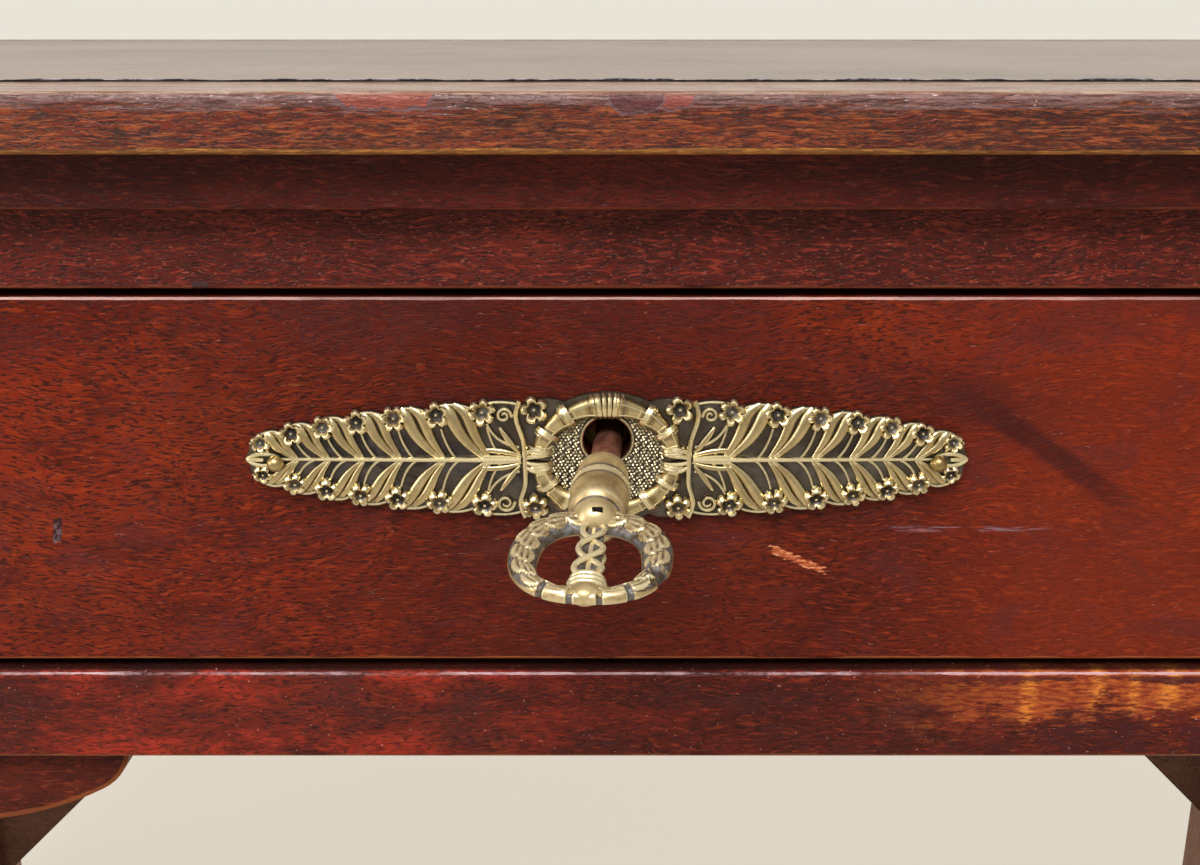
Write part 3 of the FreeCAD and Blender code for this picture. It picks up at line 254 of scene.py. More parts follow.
class Finish(Painter):
    """The finish of one surface: a colour, a roughness and a height that later layers are laid over."""

    def __init__(self, name):
        self.material = bpy.data.materials.new(name)
        self.material.use_nodes = True
        self.tree = self.material.node_tree
        self.tree.nodes.clear()
        self.place = self.add("ShaderNodeTexCoord").outputs["Object"]
        split = self.add("ShaderNodeSeparateXYZ", {0: self.place})
        self.across, self.depth, self.level = split.outputs
        self.colour = self.roughness = self.height = None

    def lay(self, mask, share, colour, roughness=None, height=None):
        """Lays a share of a layer over the finish where the mask is 1."""
        if share != 1:
            mask = self.times(mask, share)
        self.colour = self.mix(mask, self.colour, colour)
        if roughness is not None:
            self.roughness = self.blend_value(mask, self.roughness, roughness)
        if height is not None:
            self.height = self.scaled(mask, height, self.height)

    def ragged(self, mask, scale, bite=0.5, shift=0.0, detail=4.0):
        """Breaks the edge of a soft mask up into an irregular one."""
        noise = self.cloud(scale, detail=detail, shift=shift)
        pushed = self.scaled(self.less(noise, 0.5), bite * 4, mask)
        return self.step(pushed, 0.4, 0.62)

    def arris(self, level, depth, reach):
        """1 on an edge that runs from left to right at that level and depth, and 0 a reach away from it."""
        far = self.away(self.squared_gap(self.level, level), self.squared_gap(self.depth, depth))
        return self.step(far, reach, 0.0)

    def stroke(self, start, end, width, soft=0.12):
        """1 along a straight mark on the front, from one (across, level) to another, and 0 beside it."""
        a, b = Vector(start), Vector(end)
        length = (b - a).length
        along = (b - a) / length
        shifted_across = self.less(self.across, a.x)
        shifted_level = self.less(self.level, a.y)
        run = self.scaled(shifted_across, along.x, self.times(shifted_level, along.y))
        off = self.scaled(shifted_across, -along.y, self.times(shifted_level, along.x))
        beside = self.step(self.sum("ABSOLUTE", off), width / 2, width / 6)
        beside = self.times(beside, self.step(self.depth, FRONT_PLANE + 0.003, FRONT_PLANE + 0.001))
        fade = length * soft
        begun = self.step(run, -fade / 2, fade / 2)
        ended = self.step(run, length + fade / 2, length - fade / 2)
        return self.times(beside, self.times(begun, ended))

    def close(self, metallic=0.0, specular=0.35, bump=0.0003, coat=0.0, coat_roughness=0.2):
        """Ends the material with its shader."""
        inputs = {
            "Base Color": self.colour, "Roughness": self.roughness, "Metallic": metallic,
            "Specular IOR Level": specular, "Coat Weight": coat, "Coat Roughness": coat_roughness,
        }
        if self.height is not None:
            lift = self.add("ShaderNodeBump", {"Height": self.height, "Distance": bump, "Strength": 1.0})
            inputs["Normal"] = lift.outputs[0]
        shader = self.add("ShaderNodeBsdfPrincipled", inputs)
        self.add("ShaderNodeOutputMaterial", {"Surface": shader.outputs[0]})
        return self.material


def wood_group():
    """Wood with its grain along X: bands of tone, fine streaks, short dark pores and a cross figure."""
    tree = bpy.data.node_groups.new("wood grain", "ShaderNodeTree")
    for flow, kind, labels in (
        ("INPUT", "NodeSocketVector", ("Place",)),
        ("INPUT", "NodeSocketColor", ("Base", "Deep", "Flame")),
        ("INPUT", "NodeSocketFloat", ("Bands", "Figure", "Pores")),
        ("OUTPUT", "NodeSocketColor", ("Color",)),
        ("OUTPUT", "NodeSocketFloat", ("Roughness", "Height")),
    ):
        for label in labels:
            tree.interface.new_socket(label, in_out=flow, socket_type=kind)
    given = tree.nodes.new("NodeGroupInput").outputs
    result = tree.nodes.new("NodeGroupOutput").inputs
    still = Painter(tree, given["Place"])
    place = still.place
    for scale, detail, reach in ((7.0, 2.0, 0.02), (55.0, 1.0, 0.006)):
        noise = still.add("ShaderNodeTexNoise", {"Vector": still.place, "Scale": scale, "Detail": detail})
        centred = still.vector("SUBTRACT", noise.outputs[1], (0.5, 0.5, 0.5))
        place = still.vector("ADD", place, still.vector("MULTIPLY", centred, (0.0, reach, reach)))
    grain = Painter(tree, place)
    wide = grain.cloud((2.2, 34, 34), detail=4.0, roughness=0.6)
    fine = grain.cloud((20, 420, 420), detail=3.0, roughness=0.65)
    hair = grain.cloud((170, 1250, 1250), detail=2.0, roughness=0.6)
    pore = grain.cloud((400, 1900, 1900), detail=2.0, roughness=0.5)
    figure = still.cloud((11, 7, 17), detail=4.0, roughness=0.6, distortion=0.8)
    slow = still.cloud((6, 6, 11), detail=2.0, roughness=0.5)
    patch = still.cloud((38, 60, 95), detail=5.0, roughness=0.65, distortion=0.5)
    pit = grain.times(grain.step(pore, 0.5, 0.63), given["Pores"])
    black = (0.006, 0.003, 0.002, 1)
    colour = given["Base"]
    for mask, tone in (
        (grain.times(grain.step(wide, 0.36, 0.7), given["Bands"]), given["Deep"]),
        (grain.times(grain.step(figure, 0.45, 0.72), given["Figure"]), given["Flame"]),
        (grain.step(slow, 0.42, 0.62, 0.6), given["Deep"]),
        (grain.step(patch, 0.45, 0.7, 0.75), given["Deep"]),
        (grain.step(fine, 0.42, 0.75, 0.4), given["Deep"]),
        (grain.step(hair, 0.5, 0.72, 0.55), given["Flame"]),
        (pit, grain.mix(0.35, given["Deep"], black)),
    ):
        colour = grain.mix(mask, colour, tone)
    tree.links.new(colour, result["Color"])
    tree.links.new(grain.scaled(pit, 0.3, grain.scaled(fine, 0.16, 0.24)), result["Roughness"])
    relief = grain.scaled(hair, 0.12, grain.times(fine, 0.2))
    tree.links.new(grain.scaled(pit, -0.55, relief), result["Height"])
    return tree


WOOD = wood_group()
GRAIN_TURN = {"X": (0, 0, 0), "Y": (0, 0, math.radians(90)), "Z": (0, math.radians(90), 0)}


def wood(name, along, base, deep, flame, bands=0.7, figure=0.3, pores=1.0, shift=0.0):
    """Starts a wood finish whose grain runs along one axis, in three tones as they are seen."""
    finish = Finish(name)
    moved = (shift, shift * 0.37, shift * 0.61)
    inputs = {"Vector": finish.place, "Location": moved, "Rotation": GRAIN_TURN[along]}
    inputs = {"Place": finish.add("ShaderNodeMapping", inputs).outputs[0]}
    inputs.update({"Base": shade(*base), "Deep": shade(*deep), "Flame": shade(*flame)})
    inputs.update({"Bands": bands, "Figure": figure, "Pores": pores})
    grain = finish.add("ShaderNodeGroup", inputs, node_tree=WOOD)
    finish.colour, finish.roughness, finish.height = grain.outputs
    return finish


def dress(material, *names):
    """Gives these pieces that finish."""
    for name in names:
        slots = nodes[name].data.materials
        for index in range(len(slots)):
            slots[index] = material


BORDER_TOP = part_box("border_front")[1].z
BORDER_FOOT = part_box("border_front")[0].z
BORDER_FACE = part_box("border_front")[0].y


def worn_border(name, along, shift, patched=False):
    """Border wood: open golden grain, cracks, a painted grey sheen with small painted highlights under the
    arris, a pale painted reflection on the top, a worn lower edge.
    """
    edge = wood(name, along, (118, 42, 29), (54, 18, 14), (166, 86, 42), 0.8, 0.4, 0.8, shift)
    streaks = (150, 900, 1500) if along == "X" else (900, 150, 1500)
    longer = (30, 300, 800) if along == "X" else (300, 30, 800)
    open_grain = edge.patches(streaks, 0.51, 0.6, detail=4.0, roughness=0.65, distortion=0.8)
    edge.lay(open_grain, 0.6, (168, 88, 42), 0.5)
    cracks = edge.patches(streaks, 0.53, 0.6, detail=4.0, roughness=0.7, shift=3.1, distortion=0.8)
    edge.lay(cracks, 0.65, (42, 18, 18), 0.6, -1.0)
    golden = edge.ragged(edge.step(edge.level, BORDER_FOOT + 0.0024, BORDER_FOOT + 0.0003), longer, 0.5)
    edge.lay(golden, 0.75, edge.mix(open_grain, (150, 96, 40), (206, 144, 62)), 0.5, -0.4)
    drift = edge.less(edge.cloud(longer, detail=5.0, roughness=0.7, shift=1.7), 0.5)
    uneven = edge.scaled(drift, 0.011, edge.level)
    # A grey sheen is painted in a band under the rounded upper arris.
    arris_sheen = edge.step(uneven, BORDER_TOP - 0.0044, BORDER_TOP - 0.0024)
    greyed = edge.patches(streaks, 0.42, 0.6, detail=3.0, shift=5.0)
    sheen_tone = edge.mix(greyed, (134, 104, 104), (96, 62, 58))
    edge.lay(arris_sheen, 0.85, sheen_tone, 0.42)
    # Small pale painted highlights within the grey sheen.
    flecks = edge.patches((500, 500, 1800), 0.66, 0.72, detail=2.0, shift=6.0)
    edge.lay(flecks, arris_sheen, (206, 188, 186), 0.4)
    if patched:
        near_front = edge.step(edge.depth, BORDER_FACE + 0.005, BORDER_FACE + 0.004)
        wobble = edge.less(edge.cloud((260, 260, 420), detail=4.0, shift=2.2), 0.5)
        for middle, half, drop, tone in PATCHES:
            sideways = edge.sum("DIVIDE", edge.less(edge.across, middle), half)
            downwards = edge.sum("DIVIDE", edge.less(edge.level, BORDER_TOP), drop)
            sideways = edge.sum("POWER", edge.sum("ABSOLUTE", sideways), 4.0)
            downwards = edge.sum("POWER", edge.sum("ABSOLUTE", downwards), 2.0)
            far = edge.scaled(wobble, 1.6, edge.sum("ADD", sideways, downwards))
            rim = edge.times(edge.step(far, 1.35, 1.2), near_front)
            edge.lay(rim, 0.85, (112, 84, 92), 0.45)
            filled = edge.times(edge.step(far, 1.02, 0.92), near_front)
            edge.lay(filled, 0.9, tone, 0.5, 0.4)
    # The top face of the border is painted pale as a reflection, darker in streaks.
    faces_up = edge.step(edge.level, BORDER_TOP - 0.0009, BORDER_TOP - 0.0003)
    deeper = edge.patches(longer, 0.44, 0.6, detail=5.0, roughness=0.7, shift=8.0)
    top_reflection = edge.mix(deeper, (184, 156, 138), (132, 84, 62))
    edge.lay(faces_up, 0.9, top_reflection, 0.16)
    return edge.close(specular=0.35, bump=0.00025, coat=0.1, coat_roughness=0.25)


# Two filled knots and a dark patch beside the second: across, half width, drop from the top, colour
PATCHES = (
    (-0.0492, 0.0108, 0.0036, (152, 74, 60)),
    (0.0145, 0.0046, 0.0036, (142, 70, 62)),
    (0.0062, 0.006, 0.0042, (96, 50, 52)),
)
dress(worn_border("border front mahogany", "X", 0.0, patched=True), "border_front")
dress(worn_border("border back mahogany", "X", 2.7), "border_back")
dress(worn_border("border side mahogany", "Y", 0.4), "border_left", "border_right")


# Strip under the top
# A darker mahogany strip is glued and pinned under the borders, set back from their edge. Its almost
# black-red tones are partly a darker wood and partly painted shade from the overhanging borders.

# The strip's dark tones are partly the wood's own and partly painted shade under the overhanging borders.
strip = wood("strip front mahogany", "X", (92, 28, 22), (48, 13, 12), (120, 44, 30), 0.7, 0.3, 0.6, 0.9)
strip_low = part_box("moulding_front")[0]
worn = strip.ragged(strip.arris(strip_low.z, strip_low.y, 0.0011), (60, 60, 500), 0.5)
strip.lay(worn, 0.6, (122, 58, 36), 0.45)
scuffs = strip.patches((260, 300, 1500), 0.62, 0.72, detail=3.0, shift=1.0)
strip.lay(scuffs, 0.4, (118, 70, 62), 0.4)
dress(strip.close(specular=0.18, bump=0.0002), "moulding_front", "moulding_back")
strip = wood("strip side mahogany", "Y", (70, 24, 19), (36, 11, 9), (92, 36, 26), 0.7, 0.3, 0.4, 1.2)
dress(strip.close(specular=0.18, bump=0.0002), "moulding_left", "moulding_right")


# Writing surface
# An oak core carries a sheet of waxed brown leather, laid flush with the borders. Its front edge has shrunk
# and curls up a little, which shows as a dark broken line.

hide = Finish("brown leather")
tone = hide.cloud((6, 6, 6), detail=4.0, roughness=0.6)
hide.colour = hide.mix(hide.step(tone, 0.35, 0.7), (142, 118, 106), (112, 90, 80))
cells = hide.add("ShaderNodeTexVoronoi", {"Vector": hide.place, "Scale": 620.0}).outputs[0]
creases = hide.cloud((260, 260, 260), detail=4.0, roughness=0.7)
hide.roughness = hide.scaled(creases, 0.16, 0.12)
hide.height = hide.scaled(cells, 0.4, hide.times(creases, 0.6))
scuffs = hide.patches((35, 60, 60), 0.6, 0.72, detail=5.0, roughness=0.7, shift=2.0)
hide.lay(scuffs, 0.4, (128, 104, 88), 0.5)
dress(hide.close(specular=0.6, bump=0.0001), "writing_field")

OAK = (172, 132, 88)
OAK_DEEP = (118, 84, 52)
OAK_PALE = (198, 162, 116)


def dusty_oak(name, along, shift):
    oak = wood(name, along, OAK, OAK_DEEP, OAK_PALE, 0.6, 0.2, 0.9, shift)
    dust = oak.patches((14, 14, 14), 0.45, 0.75, detail=4.0)
    oak.lay(dust, 0.35, (112, 90, 68), 0.8)
    return oak.close(specular=0.2, bump=0.0003)


oak_lengthwise = dusty_oak("oak along the drawers", "Y", 0.2)
oak_crosswise = dusty_oak("oak across the drawers", "X", 0.7)
dress(oak_crosswise, "top_core")


# Rails
# Two solid mahogany rails run between the legs, one above and one below the drawers. The upper one lies in
# the shade of the top. The lower one has a rounded, knocked upper edge and a flamed figure at its right.

RAIL_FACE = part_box("lower_rail")[0].y
RAIL_FOOT, RAIL_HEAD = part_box("lower_rail")[0].z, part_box("lower_rail")[1].z
RAIL_ROUND = 0.0007
FLAME_START, FLAME_END = 0.06, 0.12
FLAME_LEVEL = 0.5975

rail = wood("upper rail mahogany", "X", (126, 43, 33), (62, 19, 16), (164, 62, 44), 0.8, 0.5, 0.9, 2.1)
flecks = rail.patches((800, 900, 1900), 0.63, 0.72, detail=2.0)
rail.lay(flecks, 0.42, (186, 108, 86), 0.5)
over_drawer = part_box("centre_drawer_front")[1].z + 0.002
rail_worn = rail.ragged(rail.arris(over_drawer, FRONT_PLANE, 0.0016), (60, 60, 500), 0.5)
rail.lay(rail_worn, 0.6, (140, 74, 48), 0.5)
dark_knock = rail.ragged(rail.stroke((-0.1002, 0.7138), (-0.0962, 0.7140), 0.003), (900, 900, 900), 0.45)
rail.lay(dark_knock, 0.8, (58, 44, 48), 0.5, -0.5)
dress(rail.close(specular=0.2, bump=0.0002), "upper_rail")

FLAME_STRIPES = ((0.1125, 0.0035), (0.131, 0.0034), (0.1406, 0.0024), (0.1503, 0.0046))
rail = wood("lower rail mahogany", "X", (100, 30, 20), (54, 15, 13), (142, 52, 26), 0.6, 0.4, 0.8, 4.3)
fibres = rail.cloud((160, 300, 420), detail=4.0, roughness=0.7, distortion=2.5, shift=3.0)
patches = rail.cloud((34, 30, 75), detail=4.0, roughness=0.6, shift=7.0)
to_left = rail.step(rail.across, 0.03, -0.09)
reddened = rail.times(rail.step(patches, 0.46, 0.64), rail.scaled(to_left, 0.7, 0.2))
rail.lay(reddened, rail.step(fibres, 0.36, 0.6), (160, 46, 30), 0.38)
rail.lay(rail.step(patches, 0.48, 0.3), 0.7, (66, 28, 30), 0.34)
to_right = rail.step(rail.across, FLAME_START, FLAME_END)
flame = rail.cloud((40, 40, 80), detail=6.0, roughness=0.68, shift=5.0)
rungs = rail.cloud((220, 220, 1100), detail=3.0, roughness=0.6, distortion=0.6, shift=8.0)
upper_part = rail.scaled(rail.less(rail.level, FLAME_LEVEL), 15.0, flame)
upper_part = rail.scaled(rail.less(rungs, 0.5), 0.3, upper_part)
flamed = rail.times(rail.step(upper_part, 0.42, 0.58), to_right)
flame_tone = rail.mix(rail.step(rungs, 0.4, 0.6), (138, 50, 28), (184, 92, 42))
rail.lay(flamed, 0.8, flame_tone, 0.36, 0.15)
for middle, half in FLAME_STRIPES:
    aside = rail.sum("ABSOLUTE", rail.less(rail.across, middle))
    shine = rail.times(rail.step(aside, half, 0.0), rail.step(upper_part, 0.45, 0.62))
    rail.lay(shine, rail.scaled(rail.step(rungs, 0.42, 0.6), 0.6, 0.2), (226, 136, 54), 0.3, 0.3)
mottle = rail.patches((110, 90, 170), 0.5, 0.57, detail=5.0, roughness=0.7, shift=9.0)
low_part = rail.step(rail.level, FLAME_LEVEL + 0.0035, FLAME_LEVEL - 0.0035)
rail.lay(rail.times(mottle, to_right), rail.scaled(low_part, 0.75, 0.1), (66, 22, 26), 0.34)
lumps = rail.cloud((60, 90, 160), detail=5.0, roughness=0.65, shift=6.0)
clots = rail.scaled(rail.less(rail.level, RAIL_HEAD - 0.0022), 90.0, lumps)
under_arris = rail.step(rail.level, RAIL_HEAD - 0.0012, RAIL_HEAD - 0.0018)
burr = rail.times(rail.step(clots, 0.38, 0.46), under_arris)
rail.lay(burr, rail.times(to_right, 0.85), (60, 19, 26), 0.34)
# The top face of the rail, under the drawer fronts, is painted near black as the drawers' shadow.
rail.lay(rail.step(rail.level, RAIL_HEAD - 0.0005, RAIL_HEAD - 0.0001), 0.9, (34, 12, 9), 0.5)
golden = rail.ragged(rail.step(rail.level, RAIL_FOOT + 0.0016, RAIL_FOOT + 0.0003), (50, 50, 500), 0.5)
rail.lay(golden, 0.6, (156, 92, 46), 0.5, -0.3)
# A pale pink painted highlight runs along the rounded top arris. It is broken up, except at the right.
on_arris = rail.arris(RAIL_HEAD - RAIL_ROUND, RAIL_FACE + RAIL_ROUND, 0.0009)
arris_highlight = rail.ragged(on_arris, (90, 90, 400), 0.4, shift=4.0)
broken = rail.patches((30, 30, 30), 0.42, 0.62, detail=5.0, roughness=0.7, shift=9.0)
arris_highlight = rail.times(arris_highlight, rail.sum("MAXIMUM", broken, to_right))
rail.lay(arris_highlight, 0.8, (206, 172, 180), 0.3)
specks = rail.patches((900, 900, 1300), 0.74, 0.8, detail=1.0, shift=2.0)
rail.lay(specks, 0.6, (206, 150, 130), 0.4)
dress(rail.close(specular=0.14, bump=0.0003, coat=0.03, coat_roughness=0.2), "lower_rail")


# Legs, frieze and dividers
# Square tapered legs of solid mahogany, tenoned to the side and back boards of the frieze. Upright boards
# divide the drawers.

leg = wood("leg mahogany", "Z", (118, 48, 34), (66, 24, 17), (150, 76, 50), 0.7, 0.35, 0.7, 1.1)
scuffed = leg.ragged(leg.step(leg.level, 0.1, 0.0), (40, 40, 40), 0.5)
leg.lay(scuffed, 0.6, (142, 96, 66), 0.6)
dress(leg.close(specular=0.2, bump=0.0003), "leg_front_left", "leg_front_right")
# The rear legs are painted lighter than the front legs: painted light, as if lit from behind.
painted_lit = wood("faded leg mahogany", "Z", (172, 128, 106), (124, 86, 68), (196, 152, 124), 0.6, 0.3, 0.5, 1.9)
dress(painted_lit.close(specular=0.2, bump=0.0003), "leg_back_left", "leg_back_right")

MAHOGANY, MAHOGANY_DEEP, MAHOGANY_FLAME = (116, 42, 26), (62, 18, 10), (156, 70, 38)
for name, along, bands, figure, shift, boards in (
    ("side board mahogany", "Y", 0.8, 0.45, 3.3, ("side_panel_left", "side_panel_right")),
    ("back board mahogany", "X", 0.8, 0.45, 5.3, ("back_panel",)),
    ("divider mahogany", "Z", 0.6, 0.2, 6.3, ("divider_left", "divider_right")),
):
    board = wood(name, along, MAHOGANY, MAHOGANY_DEEP, MAHOGANY_FLAME, bands, figure, 1.0, shift)
    dress(board.close(specular=0.2, bump=0.0003), *boards)
dress(oak_lengthwise, "drawer_runners", "drawer_kickers", "drawer_stops", "glue_blocks")


# Aprons and rear stretcher
# Shaped boards under the lower rail run out towards the middle, and a low arched board ties the rear legs.
# Their sawn lower edges are worn to the bare wood.

NOSE_LENGTH, NOSE_DEPTH, NOSE_ROUND, NOSE_WIDE = 0.05, 0.0245, 0.016, 0.08825
NOSE_MEET, NOSE_BLEND = 0.0085, 0.0005

for side in ("left", "right"):
    low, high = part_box(f"apron_{side}")
    tip = min(abs(low.x), abs(high.x))
    tones = ((98, 34, 25), (56, 20, 17), (140, 58, 34))
    apron = wood(f"{side} apron mahogany", "X", *tones, 0.7, 0.3, 0.6, 7.7)
    shaded = apron.step(apron.level, RAIL_FOOT - 0.009, RAIL_FOOT)
    apron.lay(shaded, 0.6, (40, 16, 13))
    run = apron.less(apron.sum("ABSOLUTE", apron.across), tip)
    past = apron.squared_gap(apron.sum("MINIMUM", run, NOSE_LENGTH), NOSE_LENGTH)
    above = apron.squared_gap(apron.level, RAIL_FOOT - NOSE_DEPTH + NOSE_WIDE)
    inside = apron.less(NOSE_WIDE, apron.away(past, above))
    near = apron.squared_gap(run, NOSE_ROUND)
    below = apron.squared_gap(apron.level, RAIL_FOOT)
    in_nose = apron.less(NOSE_ROUND, apron.away(near, below))
    at_tip = apron.step(run, NOSE_MEET + NOSE_BLEND, NOSE_MEET - NOSE_BLEND)
    to_edge = apron.blend_value(at_tip, inside, in_nose)
    worn = apron.ragged(apron.step(to_edge, 0.0021, 0.0005), (90, 90, 90), 0.5)
    apron.lay(worn, 0.6, (140, 78, 42), 0.5, -0.3)
    dress(apron.close(specular=0.1, bump=0.0003), f"apron_{side}")
arch = wood("stretcher mahogany", "X", (106, 68, 51), (72, 44, 32), (132, 90, 68), 0.8, 0.3, 0.6, 7.7)
dress(arch.close(specular=0.2, bump=0.0003), "rear_stretcher")


# Drawers
# Each drawer has a plain figured mahogany front, lap dovetailed to oak sides, with an oak back and a thin
# bottom in grooves. The centre front carries the marks of use.

names = ("left", "centre", "right")
DRAWER_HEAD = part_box("centre_drawer_front")[1].z
DRAWER_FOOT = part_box("centre_drawer_front")[0].z

FRONT_TONES = ((128, 38, 15), (64, 17, 11), (160, 60, 24), 0.75, 0.5, 0.9)
FRONT_SHINE = {"specular": 0.12, "bump": 0.0002, "coat": 0.03, "coat_roughness": 0.15}
front = wood("centre drawer mahogany", "X", *FRONT_TONES, 8.2)
shaded = front.step(front.sum("ABSOLUTE", front.sum("ADD", front.across, 0.005)), 0.085, 0.03)
front.lay(shaded, 0.42, (70, 20, 11))
lightened = front.step(front.across, 0.06, 0.12)
front.lay(lightened, 0.35, (150, 52, 24))
purple = front.cloud((48, 40, 75), detail=5.0, roughness=0.65, shift=12.0, distortion=0.5)
front.lay(front.step(purple, 0.5, 0.68), 0.5, (84, 34, 34))
lower_edge = front.arris(DRAWER_FOOT + 0.0004, FRONT_PLANE + 0.0004, 0.0012)
front.lay(front.ragged(lower_edge, (60, 60, 500), 0.5), 0.6, (156, 92, 50), 0.5)
# A thin pale pink painted highlight runs along the rounded top arris of the front.
top_arris_highlight = front.arris(DRAWER_HEAD - 0.0003, FRONT_PLANE + 0.0003, 0.0008)
front.lay(front.ragged(top_arris_highlight, (60, 60, 500), 0.3, shift=2.0), 0.7, (226, 186, 180), 0.35)
clouds = front.patches((22, 20, 60), 0.35, 0.6, detail=4.0, shift=4.0)
front.lay(front.times(front.step(front.level, 0.69, 0.709), clouds), 0.55, (72, 30, 30), 0.34)
nicks = front.patches((350, 350, 1500), 0.7, 0.76, detail=2.0, shift=6.0)
front.lay(nicks, 0.35, (176, 118, 104), 0.4)
streak = front.stroke((0.0905, 0.6855), (0.131, 0.6585), 0.0085, 0.6)
front.lay(streak, 0.68, (46, 16, 19))
haze = front.stroke((0.055, 0.693), (0.108, 0.682), 0.022, 0.9)
front.lay(haze, 0.4, (56, 20, 20))
brightened = front.stroke((0.074, 0.6505), (0.112, 0.6505), 0.0022, 0.6)
hairs = front.patches((160, 200, 2400), 0.5, 0.6, detail=3.0, shift=15.0)
front.lay(brightened, front.times(hairs, 0.6), (150, 120, 132), 0.4)
splinters = front.cloud((420, 500, 1500), detail=3.0, shift=13.0)
scratch = ((0.0415, 0.6455), (0.057, 0.6385))
torn = front.scaled(front.less(splinters, 0.5), 3.2, front.stroke(*scratch, 0.0036, 0.3))
scratched = front.times(front.step(torn, 0.62, 0.78), front.stroke(*scratch, 0.006, 0.2))
bare_wood = front.mix(front.step(splinters, 0.5, 0.62), (166, 82, 48), (226, 150, 112))
front.lay(scratched, 1, bare_wood, 0.5)
crumbs = front.less(front.cloud((500, 500, 500), detail=3.0), 0.5)
chip = front.scaled(crumbs, 1.4, front.stroke((-0.1418, 0.6466), (-0.1405, 0.6536), 0.0034, 0.7))
dusted = front.patches((900, 900, 900), 0.45, 0.6, shift=3.0)
chip_tone = front.mix(dusted, (38, 22, 26), (96, 82, 92))
front.lay(front.step(chip, 0.42, 0.62), 0.85, chip_tone, 0.6, -1.0)
dress(front.close(**FRONT_SHINE), "centre_drawer_front")
front = wood("side drawer mahogany", "X", *FRONT_TONES, 9.6)
dress(front.close(**FRONT_SHINE), "left_drawer_front", "right_drawer_front")
for name in names:
    dress(oak_lengthwise, f"{name}_drawer_side_left", f"{name}_drawer_side_right")
    dress(oak_crosswise, f"{name}_drawer_back", f"{name}_drawer_bottom")


# Keyhole plates
# Each is one casting in gilt brass, pinned to the front: two wings of paired leaves and small flowers on
# stalks, and in the middle a bound ring of canes round a pebbled field. Age has darkened every hollow.

MM = 0.001
PLATE_GROUND = 1.3
PLATE_DROP = 40.9
RING_WIDE, RING_TALL = 17.0, 13.9
KEYHOLE_UP, KEYHOLE_RADIUS, SLOT_HALF, SLOT_FOOT = 5.1, 6.1, 2.5, -9.9
TIP = 90.6
OUTER_NOTCH = 89.4
CROWN_RISE, CROWN_REACH = 17.3, 20.7
OVAL_RISE, OVAL_REACH, SCALLOP_RISE = 14.3, 93, 1.6
RIM_START, RIM_END, RIM_STEP = 89.2, 19.5, 0.75
FIELD_WIDE, FIELD_TALL = 14.4, 11.8
PEBBLE_PITCH, PEBBLE_ROW = 0.94, 0.82
FLOWER_PLACES = (86.6, 78.7, 70.8, 62.3, 53.0, 42.4, 31.0, 18.1)
NOTCHES = [OUTER_NOTCH] + [place + 2.8 for place in FLOWER_PLACES[1:]] + [10.0]


def plate_edge(across):
    """Half the plate's height at a distance from its middle: scallops along an oval, a crown at the ring."""
    far = abs(across)
    if far > OUTER_NOTCH:
        return 2.0 * math.sqrt(max(0.0, (TIP - far) / (TIP - OUTER_NOTCH)))
    ring = CROWN_RISE * math.sqrt(1 - (far / CROWN_REACH) ** 2) if far < CROWN_REACH else 0.0
    wing = 0.0
    for outer, inner in zip(NOTCHES, NOTCHES[1:]):
        if inner <= far <= outer:
            share = (outer - far) / (outer - inner)
            wing = OVAL_RISE * math.sqrt(1 - (far / OVAL_REACH) ** 2)
            wing += SCALLOP_RISE * math.sin(math.pi * share) ** 0.6
    return max(ring, wing)


def sweep(shape, section, paths, smooth=3, flat=False):
    """Adds bars to a bmesh. A path is a list of (across, level, relief, half width), smoothed in between."""
    outline = bpy.data.curves.new("section", "CURVE")
    outline.dimensions = "2D"
    spline = outline.splines.new("POLY")
    spline.points.add(len(section) - 1)
    for point, (side, up) in zip(spline.points, section):
        point.co = (side, up, 0, 1)
    spline.use_cyclic_u = True
    profile = bpy.data.objects.new("section", outline)
    data = bpy.data.curves.new("bars", "CURVE")
    data.dimensions = "3D"
    data.twist_mode = "Z_UP"
    data.bevel_mode = "OBJECT"
    data.bevel_object = profile
    data.use_fill_caps = True
    data.resolution_u = smooth
    for path in paths:
        spline = data.splines.new("POLY" if flat else "NURBS")
        spline.points.add(len(path) - 1)
        for point, (across, level, relief, half_width) in zip(spline.points, path):
            point.co = (across, level, relief, 1)
            point.radius = half_width
        if not flat:
            spline.order_u = 4
            spline.use_endpoint_u = True
    bars = bpy.data.objects.new("bars", data)
    for thing in (bars, profile):
        bpy.context.scene.collection.objects.link(thing)
    evaluated = bars.evaluated_get(bpy.context.evaluated_depsgraph_get())
    mesh = bpy.data.meshes.new_from_object(evaluated)
    shape.from_mesh(mesh)
    for thing in (bars, profile):
        bpy.data.objects.remove(thing)
    bpy.data.meshes.remove(mesh)


def set_in(shape, mesh, place):
    """Adds a copy of a small mesh to a bmesh, at a place."""
    copy = mesh.copy()
    copy.transform(place)
    shape.from_mesh(copy)
    bpy.data.meshes.remove(copy)


def turned(profile, steps):
    """A bmesh turned round the Z axis from (radius, height) points."""
    shape = bmesh.new()
    previous = None
    for radius, height in profile:
        corner = shape.verts.new((radius, 0, height))
        if previous:
            shape.edges.new((previous, corner))
        previous = corner
    whole = {"cent": (0, 0, 0), "axis": (0, 0, 1), "angle": math.tau, "use_merge": True}
    bmesh.ops.spin(shape, geom=shape.verts[:] + shape.edges[:], steps=steps, **whole)
    bmesh.ops.remove_doubles(shape, verts=shape.verts[:], dist=1e-5)
    bmesh.ops.recalc_face_normals(shape, faces=shape.faces[:])
    return shape


